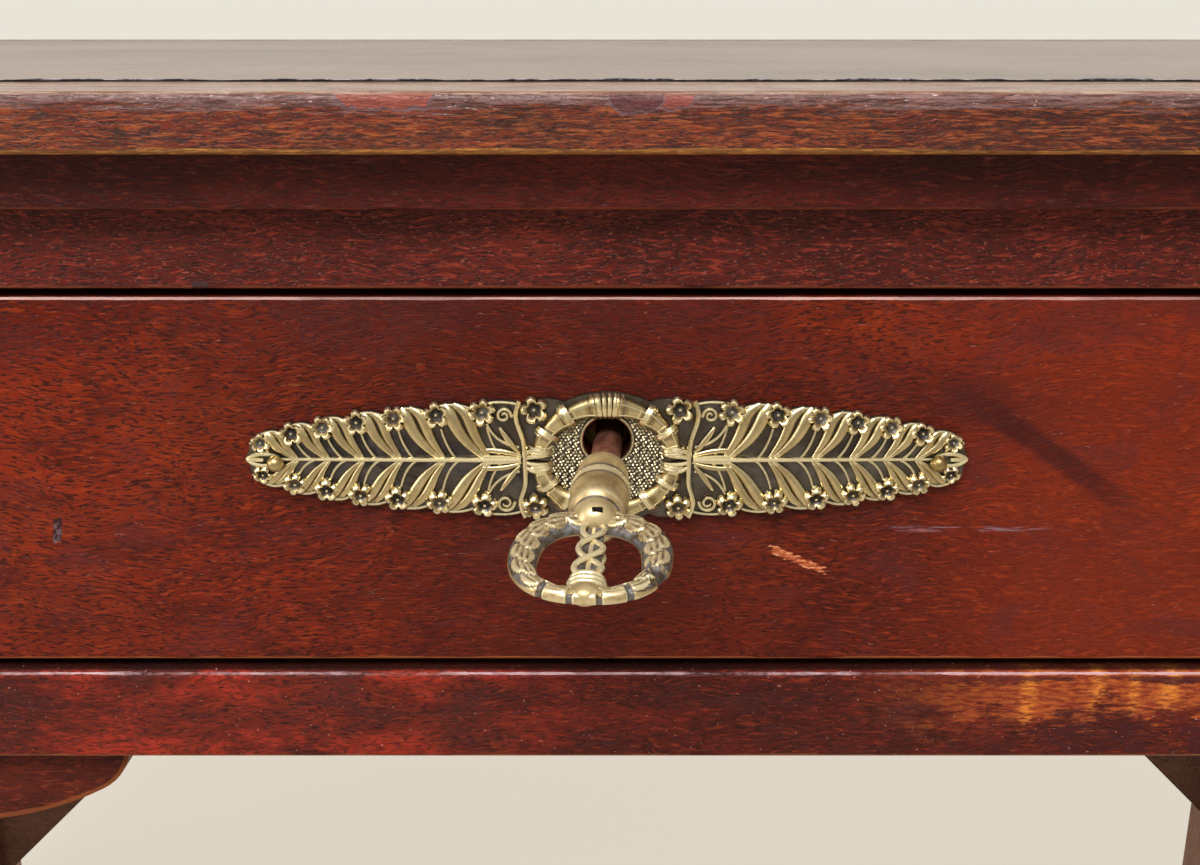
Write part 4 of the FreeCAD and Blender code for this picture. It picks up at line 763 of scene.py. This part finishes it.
def blossom_mesh(petals, open_cup):
    """A small cast flower: a lobed rim round a cup with a bead in it."""
    deep = 0.25 if open_cup else 0.55
    profile = (
        (0, 1.0), (0.3, 0.95), (0.42, deep), (0.8, deep), (1.35, deep + 0.5), (1.8, 1.55),
        (2.2, 1.8), (2.65, 1.5), (2.95, 0.7), (3.0, -0.6), (0, -0.6),
    )
    shape = turned(profile, petals * 6)
    for corner in shape.verts:
        far = math.hypot(corner.co.x, corner.co.y)
        if far < 0.6:
            continue
        turn = math.atan2(corner.co.y, corner.co.x)
        lobe = abs(math.cos(turn * petals / 2)) ** 0.6
        reach = min(1.0, (far - 0.6) / 1.4)
        spread = 1 + (lobe - 0.75) * 0.34 * reach
        corner.co.x *= spread
        corner.co.y *= spread
        if corner.co.z > 0:
            corner.co.z *= 1 - 0.32 * (1 - lobe) * reach
    return as_mesh("blossom", shape)


LEAF_SECTION = (
    (-1, -0.6), (-1, 0.1), (-0.72, 0.5), (-0.25, 0.68), (0.3, 0.66), (0.75, 0.42), (1, 0.05), (1, -0.6),
)
ROUND_SECTION = tuple(
    (math.cos(math.radians(turn)), -math.sin(math.radians(turn))) for turn in range(0, 360, 45)
)
CANE_SECTION = (
    (-1, -0.4), (-1, 0.2), (-0.9, 0.42), (-0.42, 0.78), (0.42, 0.78), (0.9, 0.42), (1, 0.2), (1, -0.4),
)
UPPER_LEAF = (
    (-0.1, 0.02, 0.07, 0.55), (0.17, 0.27, 0.15, 0.5), (0.35, 0.5, 0.19, 0.45),
    (0.45, 0.72, 0.22, 0.35), (0.56, 0.93, 0.23, 0.2), (0.72, 1.02, 0.12, -0.1),
)
LOWER_LEAF = (
    (-0.12, 0.04, 0.06, 0.45), (0.14, 0.26, 0.13, 0.5), (0.3, 0.5, 0.18, 0.45),
    (0.47, 0.74, 0.2, 0.3), (0.68, 0.94, 0.15, 0.05), (0.84, 1.02, 0.08, -0.2),
)
UPPER_STALK = ((4.4, 0.03), (3.0, 0.2), (1.7, 0.44), (1.1, 0.7))
LOWER_STALK = ((5.2, 0.03), (3.2, 0.16), (1.8, 0.38), (1.0, 0.7))


def strands(shape, side, path, gap=0.1):
    """A leaf as two strands with a groove between. Its path holds (far, level, half width, lift)."""
    lanes = []
    for lane in (-1, 1):
        lane_path = []
        for far, level, half, lift in path:
            width = half * (0.53 - gap / 2)
            wide = width * (1.12 if lane > 0 else 0.95)
            lane_path.append(((far + lane * half * 0.62) * side, level, PLATE_GROUND + lift, wide))
        lanes.append(lane_path)
    sweep(shape, LEAF_SECTION, lanes, 4)


def wing(shape, side, blossoms):
    """Everything on one wing, from its tip to the ring. The side is -1 at the left and 1 at the right."""
    stalks = []
    lift = PLATE_GROUND + 0.25
    last = len(FLOWER_PLACES) - 1
    for number, place in enumerate(FLOWER_PLACES):
        edge_above = plate_edge(place)
        following = FLOWER_PLACES[number + 1] if number < last else place
        pitch = place - following
        for above in (1, -1):
            rise = edge_above - 2.55 if number else 4.1
            size = (1.0 + 0.024 * number) * (1.0 if number else 0.84)
            turn = Matrix.Rotation(place * 1.7 * above, 4, "Z")
            lean = Matrix.Rotation(math.radians(12) * -above, 4, "X")
            spot = Matrix.Translation((place * side, rise * above, PLATE_GROUND - 0.1))
            set_in(shape, blossoms[(number + (above > 0)) % 2], spot @ lean @ turn @ Matrix.Scale(size, 4))
            if number == last:
                continue
            stalks.append([
                ((place - inward) * side, rise * share * above, lift, 0.42 - 0.1 * share)
                for inward, share in (UPPER_STALK if above > 0 else LOWER_STALK)
            ])
            if number == last - 1:
                continue
            path = []
            for share, height, half, raised in UPPER_LEAF if above > 0 else LOWER_LEAF:
                far = following + pitch * share
                reach = plate_edge(min(far, OUTER_NOTCH)) - 0.7
                path.append((far, reach * height * above, pitch * half * 1.33, raised))
            strands(shape, side, path)
    rib = ((82, 0, 0.4), (70, 0.3, 0.5), (45, 0.5, 0.62), (22, 0.5, 0.75))
    stalks.append([(far * side, 0, lift + up, half) for far, up, half in rib])
    for above in (1, -1):
        edge = []
        far = RIM_START
        while far > RIM_END:
            edge.append((far * side, (plate_edge(far) - 0.4) * above, PLATE_GROUND + 0.12, 0.42))
            far -= RIM_STEP
        stalks.append(edge)
    sweep(shape, ROUND_SECTION, stalks, 2)


FAN_LEAVES = (
    ((21.8, 1.6, 0.2, 0.3), (23.4, 3.4, 0.5, 0.85), (25.2, 6.0, 0.4, 0.95), (26.8, 8.4, 0, 0.3)),
    ((21.5, 0.9, 0.2, 0.3), (25.0, 2.3, 0.6, 0.8), (29.4, 2.9, 0.3, 0.8), (33, 2.0, 0, 0.25)),
)
FAN_CURLS = (
    ((21.6, 0.2, 0.3, 0.45), (26.0, 1.0, 0.4, 0.5), (31.0, 0.8, 0.3, 0.4)),
    ((22.0, 3.2, 0, 0.4), (26.5, 4.0, 0.2, 0.45), (28.8, 6.6, 0.1, 0.4), (29.9, 9.4, 0, 0.32)),
)
FAN_ROD = (
    (21.7, 15.6), (22.9, 12.6), (22.4, 9.6), (20.8, 5.6), (20.4, 2.0),
    (20.5, -2.6), (20.3, -6.6), (21.6, -9.4), (22.1, -12.2), (20.6, -15.2),
)


def fan(shape, side):
    """The small leaves, curls and the upright rod where a wing meets the ring."""
    lift = PLATE_GROUND + 0.4
    curls, sprays = [], []
    for above in (1, -1):
        curl = []
        reach_start = 2.1 if above > 0 else 2.4
        for step in range(16):
            turn = math.radians(190 - step * 36)
            reach = reach_start - step * 0.115
            level = (11.6 + math.sin(turn) * reach) * above
            curl.append((25.6 + math.cos(turn) * reach, level, lift + 0.35, 0.5 - step * 0.012))
        curls.append(curl)
        for kind, drawn in ((sprays, FAN_LEAVES), (curls, FAN_CURLS)):
            for path in drawn:
                kind.append([(far, level * above, lift + up, half) for far, level, up, half in path])
    curls.append([(far, level, lift + 1.0, 0.66) for far, level in FAN_ROD])
    for section, paths in ((ROUND_SECTION, curls), (LEAF_SECTION, sprays)):
        sweep(shape, section, [[(far * side, *rest) for far, *rest in path] for path in paths], 3)


def ring_point(turn, out, relief):
    """A point on the ring: how far round in degrees, how far out from its middle line, and its relief."""
    angle = math.radians(turn)
    return (math.cos(angle) * (RING_WIDE + out), math.sin(angle) * (RING_TALL + out), relief)


BAND_ARCH = ((-3.0, 0.9), (-2.5, 2.8), (0, 3.3), (2.5, 2.8), (3.0, 0.9))
TIE_ARCH = ((-3.1, 0.9), (-2.6, 2.9), (0, 3.4), (2.6, 2.9), (3.1, 0.9))


def cane_ring(shape):
    """The ring: faceted canes that swell to sockets, with double bands between and ties at four places."""
    bands = (9, 30, 54, 80, 100, 126, 152, 171, 189, 208, 232, 259, 281, 308, 334, 351)
    canes, ribs, lines = [], [], []
    for start, end in zip(bands, bands[1:]):
        middle = (start + end) / 2
        if abs(math.sin(math.radians(middle * 2))) < 0.08:
            continue
        grows = math.cos(math.radians(middle)) * math.sin(math.radians(middle)) > 0
        path, facets = [], {-1: [], 1: []}
        for step in range(7):
            share = step / 6
            swell = share if grows else 1 - share
            half = 1.8 + 1.2 * swell ** 1.6
            turn = start + (end - start) * share
            path.append((*ring_point(turn, 0, PLATE_GROUND + 0.3), half))
            for lane in facets:
                relief = PLATE_GROUND + 0.3 + half * 0.74
                facets[lane].append((*ring_point(turn, lane * half * 0.5, relief), 0.24))
        canes.append(path)
        lines.extend(facets.values())
        for shift in (0.3, 0.7):
            turn = start + (end - start) * shift
            crown = PLATE_GROUND + 2.05
            lines.append([(*ring_point(turn, out, crown - abs(out) * 0.1), 0.24) for out in (-1.3, 0, 1.3)])
    close_bands = (80, 100, 9, 351, 171, 189, 259, 281)
    for turn in bands:
        for shift in (-1.7, 1.7) if turn in close_bands else (-2.6, 0, 2.6):
            width = 0.55 if shift else 0.75
            ribs.append([(*ring_point(turn + shift, out, relief), width) for out, relief in BAND_ARCH])
    for turn in (90, 270):
        for shift in (-6.5, -2.2, 2.2, 6.5):
            ribs.append([(*ring_point(turn + shift, out, up), 0.62) for out, up in TIE_ARCH])
    for side in (1, -1):
        for start, end in ((5.2, 2.2), (1.9, 1.0), (-1.6, -0.8), (-5.0, -2.2)):
            ribs.append([
                (13.6 * side, end * 1.5, 1.2, 0.5), (15.2 * side, end * 1.2, 2.9, 0.72),
                (18 * side, start * 0.75, 3.1, 0.72), (20.6 * side, start * 0.3, 2.6, 0.5),
            ])
    made = len(shape.verts)
    sweep(shape, CANE_SECTION, canes, 1, flat=True)
    shape.verts.ensure_lookup_table()
    grime = shape.verts.layers.float["carved"]
    for corner in shape.verts[made:]:
        turn = math.degrees(math.atan2(corner.co.y / RING_TALL, corner.co.x / RING_WIDE)) % 360
        corner[grime] = -0.22 if min(abs(turn - place) for place in bands) < 5.5 else -0.03
    sweep(shape, ROUND_SECTION, ribs, 2)
    sweep(shape, ROUND_SECTION, lines, 1)
    lip = []
    for step in range(25):
        turn = math.radians(-155 + step * 310 / 24)
        across, rise = (math.sin(turn) * KEYHOLE_RADIUS * 1.06, math.cos(turn) * KEYHOLE_RADIUS * 1.06)
        lip.append((across, KEYHOLE_UP + rise, PLATE_GROUND + 0.15, 0.42))
    sweep(shape, ROUND_SECTION, [lip], 1)


def pebbles(shape):
    """The field inside the ring is matted with small round punch marks."""
    dot = bmesh.new()
    bmesh.ops.create_icosphere(dot, subdivisions=1, radius=0.5)
    mesh = as_mesh("pebble", dot)
    for row in range(-14, 15):
        for column in range(-16, 17):
            jog = math.sin(row * 12.9 + column * 78.2) * 0.16
            across = (column + (row % 2) / 2) * PEBBLE_PITCH + jog
            level = row * PEBBLE_ROW - jog
            inside = (across / FIELD_WIDE) ** 2 + (level / FIELD_TALL) ** 2 < 1
            clear = math.hypot(across, level - KEYHOLE_UP) > KEYHOLE_RADIUS + 1.0
            beside_slot = abs(across) > SLOT_HALF + 0.7 or level > KEYHOLE_UP or level < SLOT_FOOT - 0.6
            if inside and clear and beside_slot:
                spot = Matrix.Translation((across, level, PLATE_GROUND))
                set_in(shape, mesh, spot @ Matrix.Rotation(row + column, 4, "Z"))


def ground(shape):
    """The flat ground of the casting in two halves, which meet above and below the keyhole."""
    for side in (1, -1):
        steps = 220
        upper = [(TIP * step / steps, plate_edge(TIP * step / steps)) for step in range(steps + 1)]
        lower = [(across, -level) for across, level in reversed(upper[:-1])]
        edge = [*upper, *lower, (0, SLOT_FOOT), (SLOT_HALF, SLOT_FOOT)]
        start = -math.degrees(math.acos(SLOT_HALF / KEYHOLE_RADIUS))
        for step in range(17):
            turn = math.radians(start + (90 - start) * step / 16)
            across = math.cos(turn) * KEYHOLE_RADIUS if step < 16 else 0
            edge.append((across, KEYHOLE_UP + math.sin(turn) * KEYHOLE_RADIUS))
        corners = [shape.verts.new((across * side, level, 0)) for across, level in edge]
        shape.faces.new(corners)
    bmesh.ops.remove_doubles(shape, verts=shape.verts[:], dist=1e-4)
    bmesh.ops.recalc_face_normals(shape, faces=shape.faces[:])
    grown = bmesh.ops.extrude_face_region(shape, geom=shape.faces[:], use_keep_orig=True)
    lifted = [part for part in grown["geom"] if isinstance(part, bmesh.types.BMVert)]
    bmesh.ops.translate(shape, verts=lifted, vec=(0, 0, PLATE_GROUND))
    bmesh.ops.recalc_face_normals(shape, faces=shape.faces[:])


def tip_bud(shape, side):
    """The pointed bud at the end of a wing, under the pin."""
    lift = PLATE_GROUND + 0.35
    paths = []
    petal = ((90.2, 0.1, 0, 0.5), (88.2, 1.7, 0.3, 0.75), (85.4, 2.2, 0.3, 0.7), (82.2, 0.5, 0, 0.4))
    heart = ((90.4, 0, 0, 0.4), (88, 0, 0.5, 0.75), (86, 0, 0.5, 0.5))
    for path, above in ((petal, 1), (petal, -1), (heart, 1)):
        paths.append([(far * side, level * above, lift + up, half) for far, level, up, half in path])
    sweep(shape, ROUND_SECTION, paths, 3)


def hollow_marks(mesh):
    """Stores how hollow the surface is at each corner: below 0.5 in a hollow, above it on an edge."""
    shape = bmesh.new()
    shape.from_mesh(mesh)
    marks = {}
    grime = shape.verts.layers.float.get("carved")
    for corner in shape.verts:
        lean, count = 0.0, 0
        for line in corner.link_edges:
            across = line.other_vert(corner).co - corner.co
            if across.length > 1e-7:
                lean -= across.dot(corner.normal) / across.length
                count += 1
        marks[corner.index] = 0.5 + (lean / count if count else 0.0) + (corner[grime] if grime else 0.0)
    shape.free()
    layer = mesh.attributes.new("hollow", "FLOAT", "POINT")
    for index, value in marks.items():
        layer.data[index].value = min(1.0, max(0.0, value))


def finished(name, shape, material, body, replaced=(), crease=38, marks=True):
    """Ends a bmesh as a piece of the desk: shaded smooth between its sharp edges, in place, on its body."""
    for line in shape.edges:
        if len(line.link_faces) == 2:
            line.smooth = line.calc_face_angle(0) < math.radians(crease)
    for face in shape.faces:
        face.smooth = True
    mesh = as_mesh(name, shape)
    if marks:
        hollow_marks(mesh)
    mesh.materials.append(material)
    piece = bpy.data.objects.new(name, mesh)
    bpy.context.scene.collection.objects.link(piece)
    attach(piece, body)
    if replaced:
        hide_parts(*replaced)
    return piece


OLD_GOLD = ((192, 172, 124), (160, 136, 90))


def aged_brass(name, dark_level=None, carved=True, metallic=1.0, tones=OLD_GOLD):
    """Old gilding: pale gold on the edges, partly rubbed by the hand and partly painted highlight, brown
    lacquer beside it, grey-black grime in hollows.
    """
    gilt = Finish(name)
    patches = gilt.cloud((140, 140, 140), detail=4.0, roughness=0.6)
    speckle = gilt.cloud((1300, 1300, 1300), detail=2.0, shift=1.0)
    blotches = gilt.cloud((420, 420, 420), detail=4.0, roughness=0.65, shift=2.0)
    gilt.colour = gilt.mix(gilt.step(patches, 0.35, 0.65), *tones)
    gilt.roughness = gilt.scaled(blotches, 0.2, 0.25)
    gilt.lay(gilt.step(blotches, 0.52, 0.66), 0.5, (128, 102, 72), 0.42)
    gilt.height = gilt.scaled(patches, 0.5, gilt.times(speckle, 0.12))
    if carved:
        hollow = gilt.add("ShaderNodeAttribute", None, attribute_name="hollow").outputs["Fac"]
        # Edges and high points are painted pale gold: partly rubbed wear, partly painted highlight.
        brightened = gilt.step(hollow, 0.55, 0.72)
        gilt.lay(brightened, 0.85, (236, 224, 184), 0.26)
        dirt_and_shade = gilt.step(gilt.scaled(gilt.less(patches, 0.5), 0.12, hollow), 0.5, 0.42)
        grime = gilt.mix(gilt.step(blotches, 0.4, 0.6), (58, 50, 46), (108, 110, 118))
        gilt.lay(dirt_and_shade, 0.88, grime, 0.5)
    if dark_level is not None:
        relief = gilt.scaled(gilt.less(speckle, 0.5), 0.0006, gilt.depth)
        low = gilt.step(relief, dark_level - 0.0007, dark_level - 0.00005)
        dull = gilt.mix(gilt.step(patches, 0.42, 0.66), (64, 58, 58), (98, 94, 94))
        gilt.lay(low, 0.93, dull, 0.45)
    return gilt.close(metallic=metallic, bump=0.00008)


plate_brass = aged_brass("aged gilt brass", FRONT_PLANE - PLATE_GROUND * MM)
casting = bmesh.new()
casting.verts.layers.float.new("carved")
ground(casting)
blossoms = (blossom_mesh(5, True), blossom_mesh(6, False))
for side in (-1, 1):
    wing(casting, side, blossoms)
    fan(casting, side)
    tip_bud(casting, side)
cane_ring(casting)
pebbles(casting)
bmesh.ops.remove_doubles(casting, verts=casting.verts[:], dist=1e-4)
plate_mesh = as_mesh("casting", casting)
pin_brass = aged_brass("pin brass", carved=False)
for name in names:
    low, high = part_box(f"{name}_keyhole_plate")
    middle = ((low + high) / 2).x
    level = DRAWER_HEAD - PLATE_DROP * MM
    place = Matrix.Translation((middle, FRONT_PLANE, level)) @ Matrix.Rotation(math.radians(90), 4, "X")
    place = place @ Matrix.Scale(MM, 4)
    shape = bmesh.new()
    shape.from_mesh(plate_mesh)
    bmesh.ops.transform(shape, matrix=place, verts=shape.verts[:])
    finished(f"{name}_plate", shape, plate_brass, f"{name}_drawer", [f"{name}_keyhole_plate"])
    dress(pin_brass, f"{name}_plate_pins")
gilt_brass = pin_brass


# Key
# A cast brass handle on a brown iron shank: a barrel collar, and an oval bow carved as a laurel wreath, with
# two cords twisted round a bar across it. The leaves push the points of the bow outwards.

KEY_TURN, KEY_DROOP = -4.3, 8.3
KEY_AXIS_LEVEL = 0.6725
BOW_START, BOW_END = 33, 68.5
LEAF_PITCH = 5.6
BOW_HALF_WIDTH, BOW_BAND, BOW_END_BAND, BOW_HALF_THICK = 18, 8.2, 3.9, 1.7
key_place = (
    Matrix.Translation((0, FRONT_PLANE, KEY_AXIS_LEVEL))
    @ Matrix.Rotation(math.radians(KEY_TURN), 4, "Z")
    @ Matrix.Rotation(math.radians(KEY_DROOP), 4, "X")
    @ Matrix.Scale(MM, 4)
)


def wreath_leaf(run, cross):
    """Height of the overlapping leaves at a run along the wreath and a place across it, -1 to 1."""
    best = 0.0
    for row, start in ((-0.42, 0.0), (0.42, 0.5), (0.0, 0.25)):
        local = (run / LEAF_PITCH + start) % 1.0
        half = 0.52 * math.sin(math.pi * min(1.0, local * 0.86 + 0.1)) ** 0.7
        off = (cross - row * (1 - 0.35 * local)) / half
        if abs(off) < 1:
            bulge = math.sqrt(1 - off * off) * (0.35 + 0.65 * local)
            vein = 0.3 * math.exp(-((off / 0.14) ** 2))
            best = max(best, bulge - vein)
    return best


def wreath(shape):
    """The oval ring of the bow."""
    rounds, section = 400, 36
    squash = 2.35
    half_length = (BOW_END - BOW_START) / 2
    grime = shape.verts.layers.float.new("carved")
    loops = []
    run = 0.0
    previous = None
    for step in range(rounds):
        turn = math.tau * step / rounds
        outward = 0.5 - 0.5 * math.cos(turn)
        half_band = (BOW_BAND + (BOW_END_BAND - BOW_BAND) * outward ** 2.2) / 2
        thick = BOW_HALF_THICK * (1.22 - 0.3 * outward ** 2)
        sine, cosine = math.sin(turn), math.cos(turn)
        unit_x = math.copysign(abs(sine) ** (2 / squash), sine)
        unit_y = math.copysign(abs(cosine) ** (2 / squash), cosine)
        middle_x = unit_x * (BOW_HALF_WIDTH - half_band)
        middle_y = -(BOW_START + half_length) + unit_y * (half_length - half_band)
        point = Vector((middle_x, middle_y))
        if previous is not None:
            run += (point - previous).length
        previous = point
        side_run = run if turn < math.pi else -run
        slope = (sine / (BOW_HALF_WIDTH - half_band), cosine / (half_length - half_band))
        normal = Vector(slope).normalized()
        loop = []
        for part in range(section):
            round_turn = math.tau * part / section
            cross, up = math.cos(round_turn), math.sin(round_turn)
            carved = 0.0
            if up > -0.35:
                share = min(1.0, (up + 0.35) / 0.6)
                carved = (wreath_leaf(side_run + 300, cross) - 0.35) * 1.5 * share
            worn = 1 - 0.85 * max(0.0, outward - 0.82) / 0.18
            carved *= worn
            dirt_and_shade = min(0.1, (carved + 0.2) * 0.5)
            if cross < -0.6 and outward < 0.4:
                dirt_and_shade -= 0.2
            for cut in (-8.6, -2.9, 2.9, 8.6, 13.4):
                near = abs(middle_x - cut) / 0.7
                if near < 1 and outward > 0.6 and cross > -0.6:
                    depth = 1 - near ** 2
                    carved -= 0.9 * depth
                    dirt_and_shade = -0.35 * depth
            width = half_band + carved * abs(cross) * 0.7
            rise = thick + carved * max(0.0, up)
            place = point + normal * (cross * width)
            corner = shape.verts.new((place.x, place.y, math.copysign(abs(up) ** 0.9, up) * rise))
            corner[grime] = dirt_and_shade
            loop.append(corner)
        loops.append(loop)
    for step in range(rounds):
        first, second = loops[step], loops[(step + 1) % rounds]
        for part in range(section):
            following = (part + 1) % section
            shape.faces.new((first[part], first[following], second[following], second[part]))


def key_collar(shape):
    """The barrel of the collar with a painted highlight on its ridge, and the flared neck that the bow grows
    from.
    """
    profile = (
        (0, 12.6), (4.8, 12.6), (5.7, 13.0), (6.1, 14.0), (6.4, 16.2), (6.6, 19.2), (6.65, 21.2),
        (6.95, 21.7), (7.15, 22.4), (7.15, 23.3), (6.95, 24.0), (6.7, 24.4), (6.8, 25.0), (7.0, 27.4),
        (6.95, 30.2), (6.75, 31.8), (6.3, 33.0), (5.6, 33.7), (5.2, 34.1), (5.3, 34.6), (5.5, 35.1),
        (5.55, 36.2), (5.2, 37.5), (4.5, 38.8), (3.5, 39.8), (2.0, 40.5), (0, 40.7),
    )
    barrel = turned(profile, 48)
    bmesh.ops.transform(barrel, matrix=Matrix.Rotation(math.radians(90), 4, "X"), verts=barrel.verts[:])
    mesh = as_mesh("barrel", barrel)
    made = len(shape.verts)
    shape.from_mesh(mesh)
    shape.verts.ensure_lookup_table()
    brightened = shape.verts.layers.float["carved"]
    for corner in shape.verts[made:]:
        # The ridge is marked so that the brass paints a pale highlight on it.
        if 21.6 < -corner.co.y < 23.9:
            corner[brightened] = 0.45
    bpy.data.meshes.remove(mesh)


CORD_ARCH = (
    (-1, 0, -0.6, 0.7), (-0.8, 0.2, 1.3, 1), (0, 0.35, 1.9, 1), (0.8, 0.2, 1.3, 1), (1, 0, -0.6, 0.7),
)


def key_cords(shape):
    """The bar across the bow: a core, two cords that cross over it, rings and a bead at the end."""
    start, end, crossings = 36.2, 59.6, 3.0
    core, left, right = [], [], []
    for step in range(49):
        share = step / 48
        reach = start + (end - start) * share
        wide = 2.25 + 0.75 * share
        turn = math.pi * (crossings * share + 0.25)
        core.append((0, -reach, 0, wide * 0.42))
        left.append((math.cos(turn) * wide, -reach, 1.25 + math.sin(turn) * 0.4, 0.62 + 0.14 * share))
        right.append((-math.cos(turn) * wide, -reach, 1.25 - math.sin(turn) * 0.4, 0.62 + 0.14 * share))
    sweep(shape, ROUND_SECTION, [core, left, right, [(x, y, -z, r) for x, y, z, r in left]], 1, flat=True)
    made = len(shape.verts)
    flat_core = [(0, -start, 0, 1.0), (0, -end, 0, 1.3)]
    sweep(shape, ((-2.1, -0.8), (-2.1, 0.8), (2.1, 0.8), (2.1, -0.8)), [flat_core], 1, flat=True)
    shape.verts.ensure_lookup_table()
    grime = shape.verts.layers.float["carved"]
    for corner in shape.verts[made:]:
        corner[grime] = -1.0
    rings = []
    for place, half, thick in ((59.8, 3.5, 0.75), (61.3, 3.8, 0.8), (62.8, 3.7, 0.75)):
        rings.append([(half * out, -place - fore, up, thick * share) for out, fore, up, share in CORD_ARCH])
    sweep(shape, ROUND_SECTION, rings, 3)
    for across, reach, radius in ((0, 65.5, 3.0), (-4.7, 65.9, 2.1), (4.7, 65.9, 2.1)):
        dot = bmesh.new()
        bmesh.ops.create_uvsphere(dot, u_segments=28, v_segments=18, radius=radius)
        spot = Matrix.Translation((across, -reach, 0)) @ Matrix.Diagonal((1.15, 1, 0.82, 1))
        set_in(shape, as_mesh("bead", dot), spot)


key_brass = aged_brass("key brass", metallic=0.55, tones=((202, 180, 134), (166, 142, 98)))
handle = bmesh.new()
wreath(handle)
key_collar(handle)
key_cords(handle)
bmesh.ops.recalc_face_normals(handle, faces=handle.faces[:])
bmesh.ops.transform(handle, matrix=key_place, verts=handle.verts[:])
finished("key_bow", handle, key_brass, "key", ["key_handle"], crease=55)

# A near-black block set into the collar where its slot is: painted shade in the slot.
slot_mark = bmesh.new()
bmesh.ops.create_cube(slot_mark, size=1.0)
slot_place = Matrix.Translation((0.6, -38.7, 4.45)) @ Matrix.Rotation(math.radians(30), 4, "X")
slot_place = key_place @ slot_place @ Matrix.Diagonal((2.4, 1.1, 0.5, 1))
bmesh.ops.transform(slot_mark, matrix=slot_place, verts=slot_mark.verts[:])
dirt_and_shade = Finish("dirt in the slot")
dirt_and_shade.colour, dirt_and_shade.roughness = shade(22, 18, 15), 0.8
finished("key_slot", slot_mark, dirt_and_shade.close(specular=0.1), "key", marks=False)


# Curled edge of the leather
# The front edge of the leather has shrunk and stands up by less than a millimetre along the border. The
# polish that ran in under it is blue-black, and a pale highlight is painted on the crest in places.

field_low, field_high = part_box("writing_field")
LIP_STEPS = 1200
lip = bmesh.new()
previous = None
for step in range(LIP_STEPS + 1):
    across = field_low.x + (field_high.x - field_low.x) * step / LIP_STEPS
    wave = math.sin(across * 211) + math.sin(across * 97 + 1.3) + 0.7 * math.sin(across * 523 + 0.4)
    curl = 0.00066 + 0.00009 * wave
    front_line = field_low.y + 0.0003 * math.sin(across * 63 + 2)
    profile = (
        (-0.0006, -0.0002), (-0.0006, 0.0001), (-0.0009, curl * 0.8), (-0.0004, curl),
        (0.0008, curl * 0.85), (0.0028, curl * 0.3), (0.005, 0.00002), (0.005, -0.0002),
    )
    ring = [lip.verts.new((across, front_line + back, BORDER_TOP + up)) for back, up in profile]
    if previous:
        for index in range(len(ring)):
            following = (index + 1) % len(ring)
            lip.faces.new((previous[index], previous[following], ring[following], ring[index]))
    previous = ring
bmesh.ops.recalc_face_normals(lip, faces=lip.faces[:])
curled = Finish("curled leather")
# A pale painted highlight on the crest of the curl, broken into patches.
crest = curled.step(curled.level, BORDER_TOP + 0.0003, BORDER_TOP + 0.0005)
brightened = curled.patches((240, 400, 900), 0.46, 0.58, detail=4.0, roughness=0.7)
curled.colour = curled.mix(curled.times(crest, brightened), (34, 34, 46), (168, 164, 172))
curled.roughness = curled.scaled(brightened, 0.2, 0.35)
finished("leather_lip", lip, curled.close(specular=0.3), "carcase", marks=False)


# Locks
# A dull brass case is let into the back of each front and held by four iron screws. The iron bolt slides up
# out of it.

case = Finish("dull lock brass")
stain = case.cloud((60, 60, 60), detail=4.0, roughness=0.6)
case.colour = case.mix(case.step(stain, 0.35, 0.7), (178, 150, 92), (104, 84, 54))
case.roughness = case.scaled(stain, 0.3, 0.3)
case.height = case.cloud((1500, 200, 1500), detail=2.0)
lock_brass = case.close(metallic=1.0, bump=0.0001)
rust = Finish("brown iron")
spots = rust.cloud((260, 260, 260), detail=5.0, roughness=0.65)
rust.colour = rust.mix(rust.step(spots, 0.4, 0.62), (150, 98, 82), (96, 58, 48))
rust.roughness = rust.scaled(spots, 0.3, 0.32)
rust.height = spots
iron = rust.close(metallic=0.6, bump=0.0002)
for name in names:
    dress(lock_brass, f"{name}_lock_case")
    dress(iron, f"{name}_lock_screws", f"{name}_lock_bolt")
dress(iron, "key_shank")
dress(gilt_brass, "key_handle")


low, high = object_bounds()
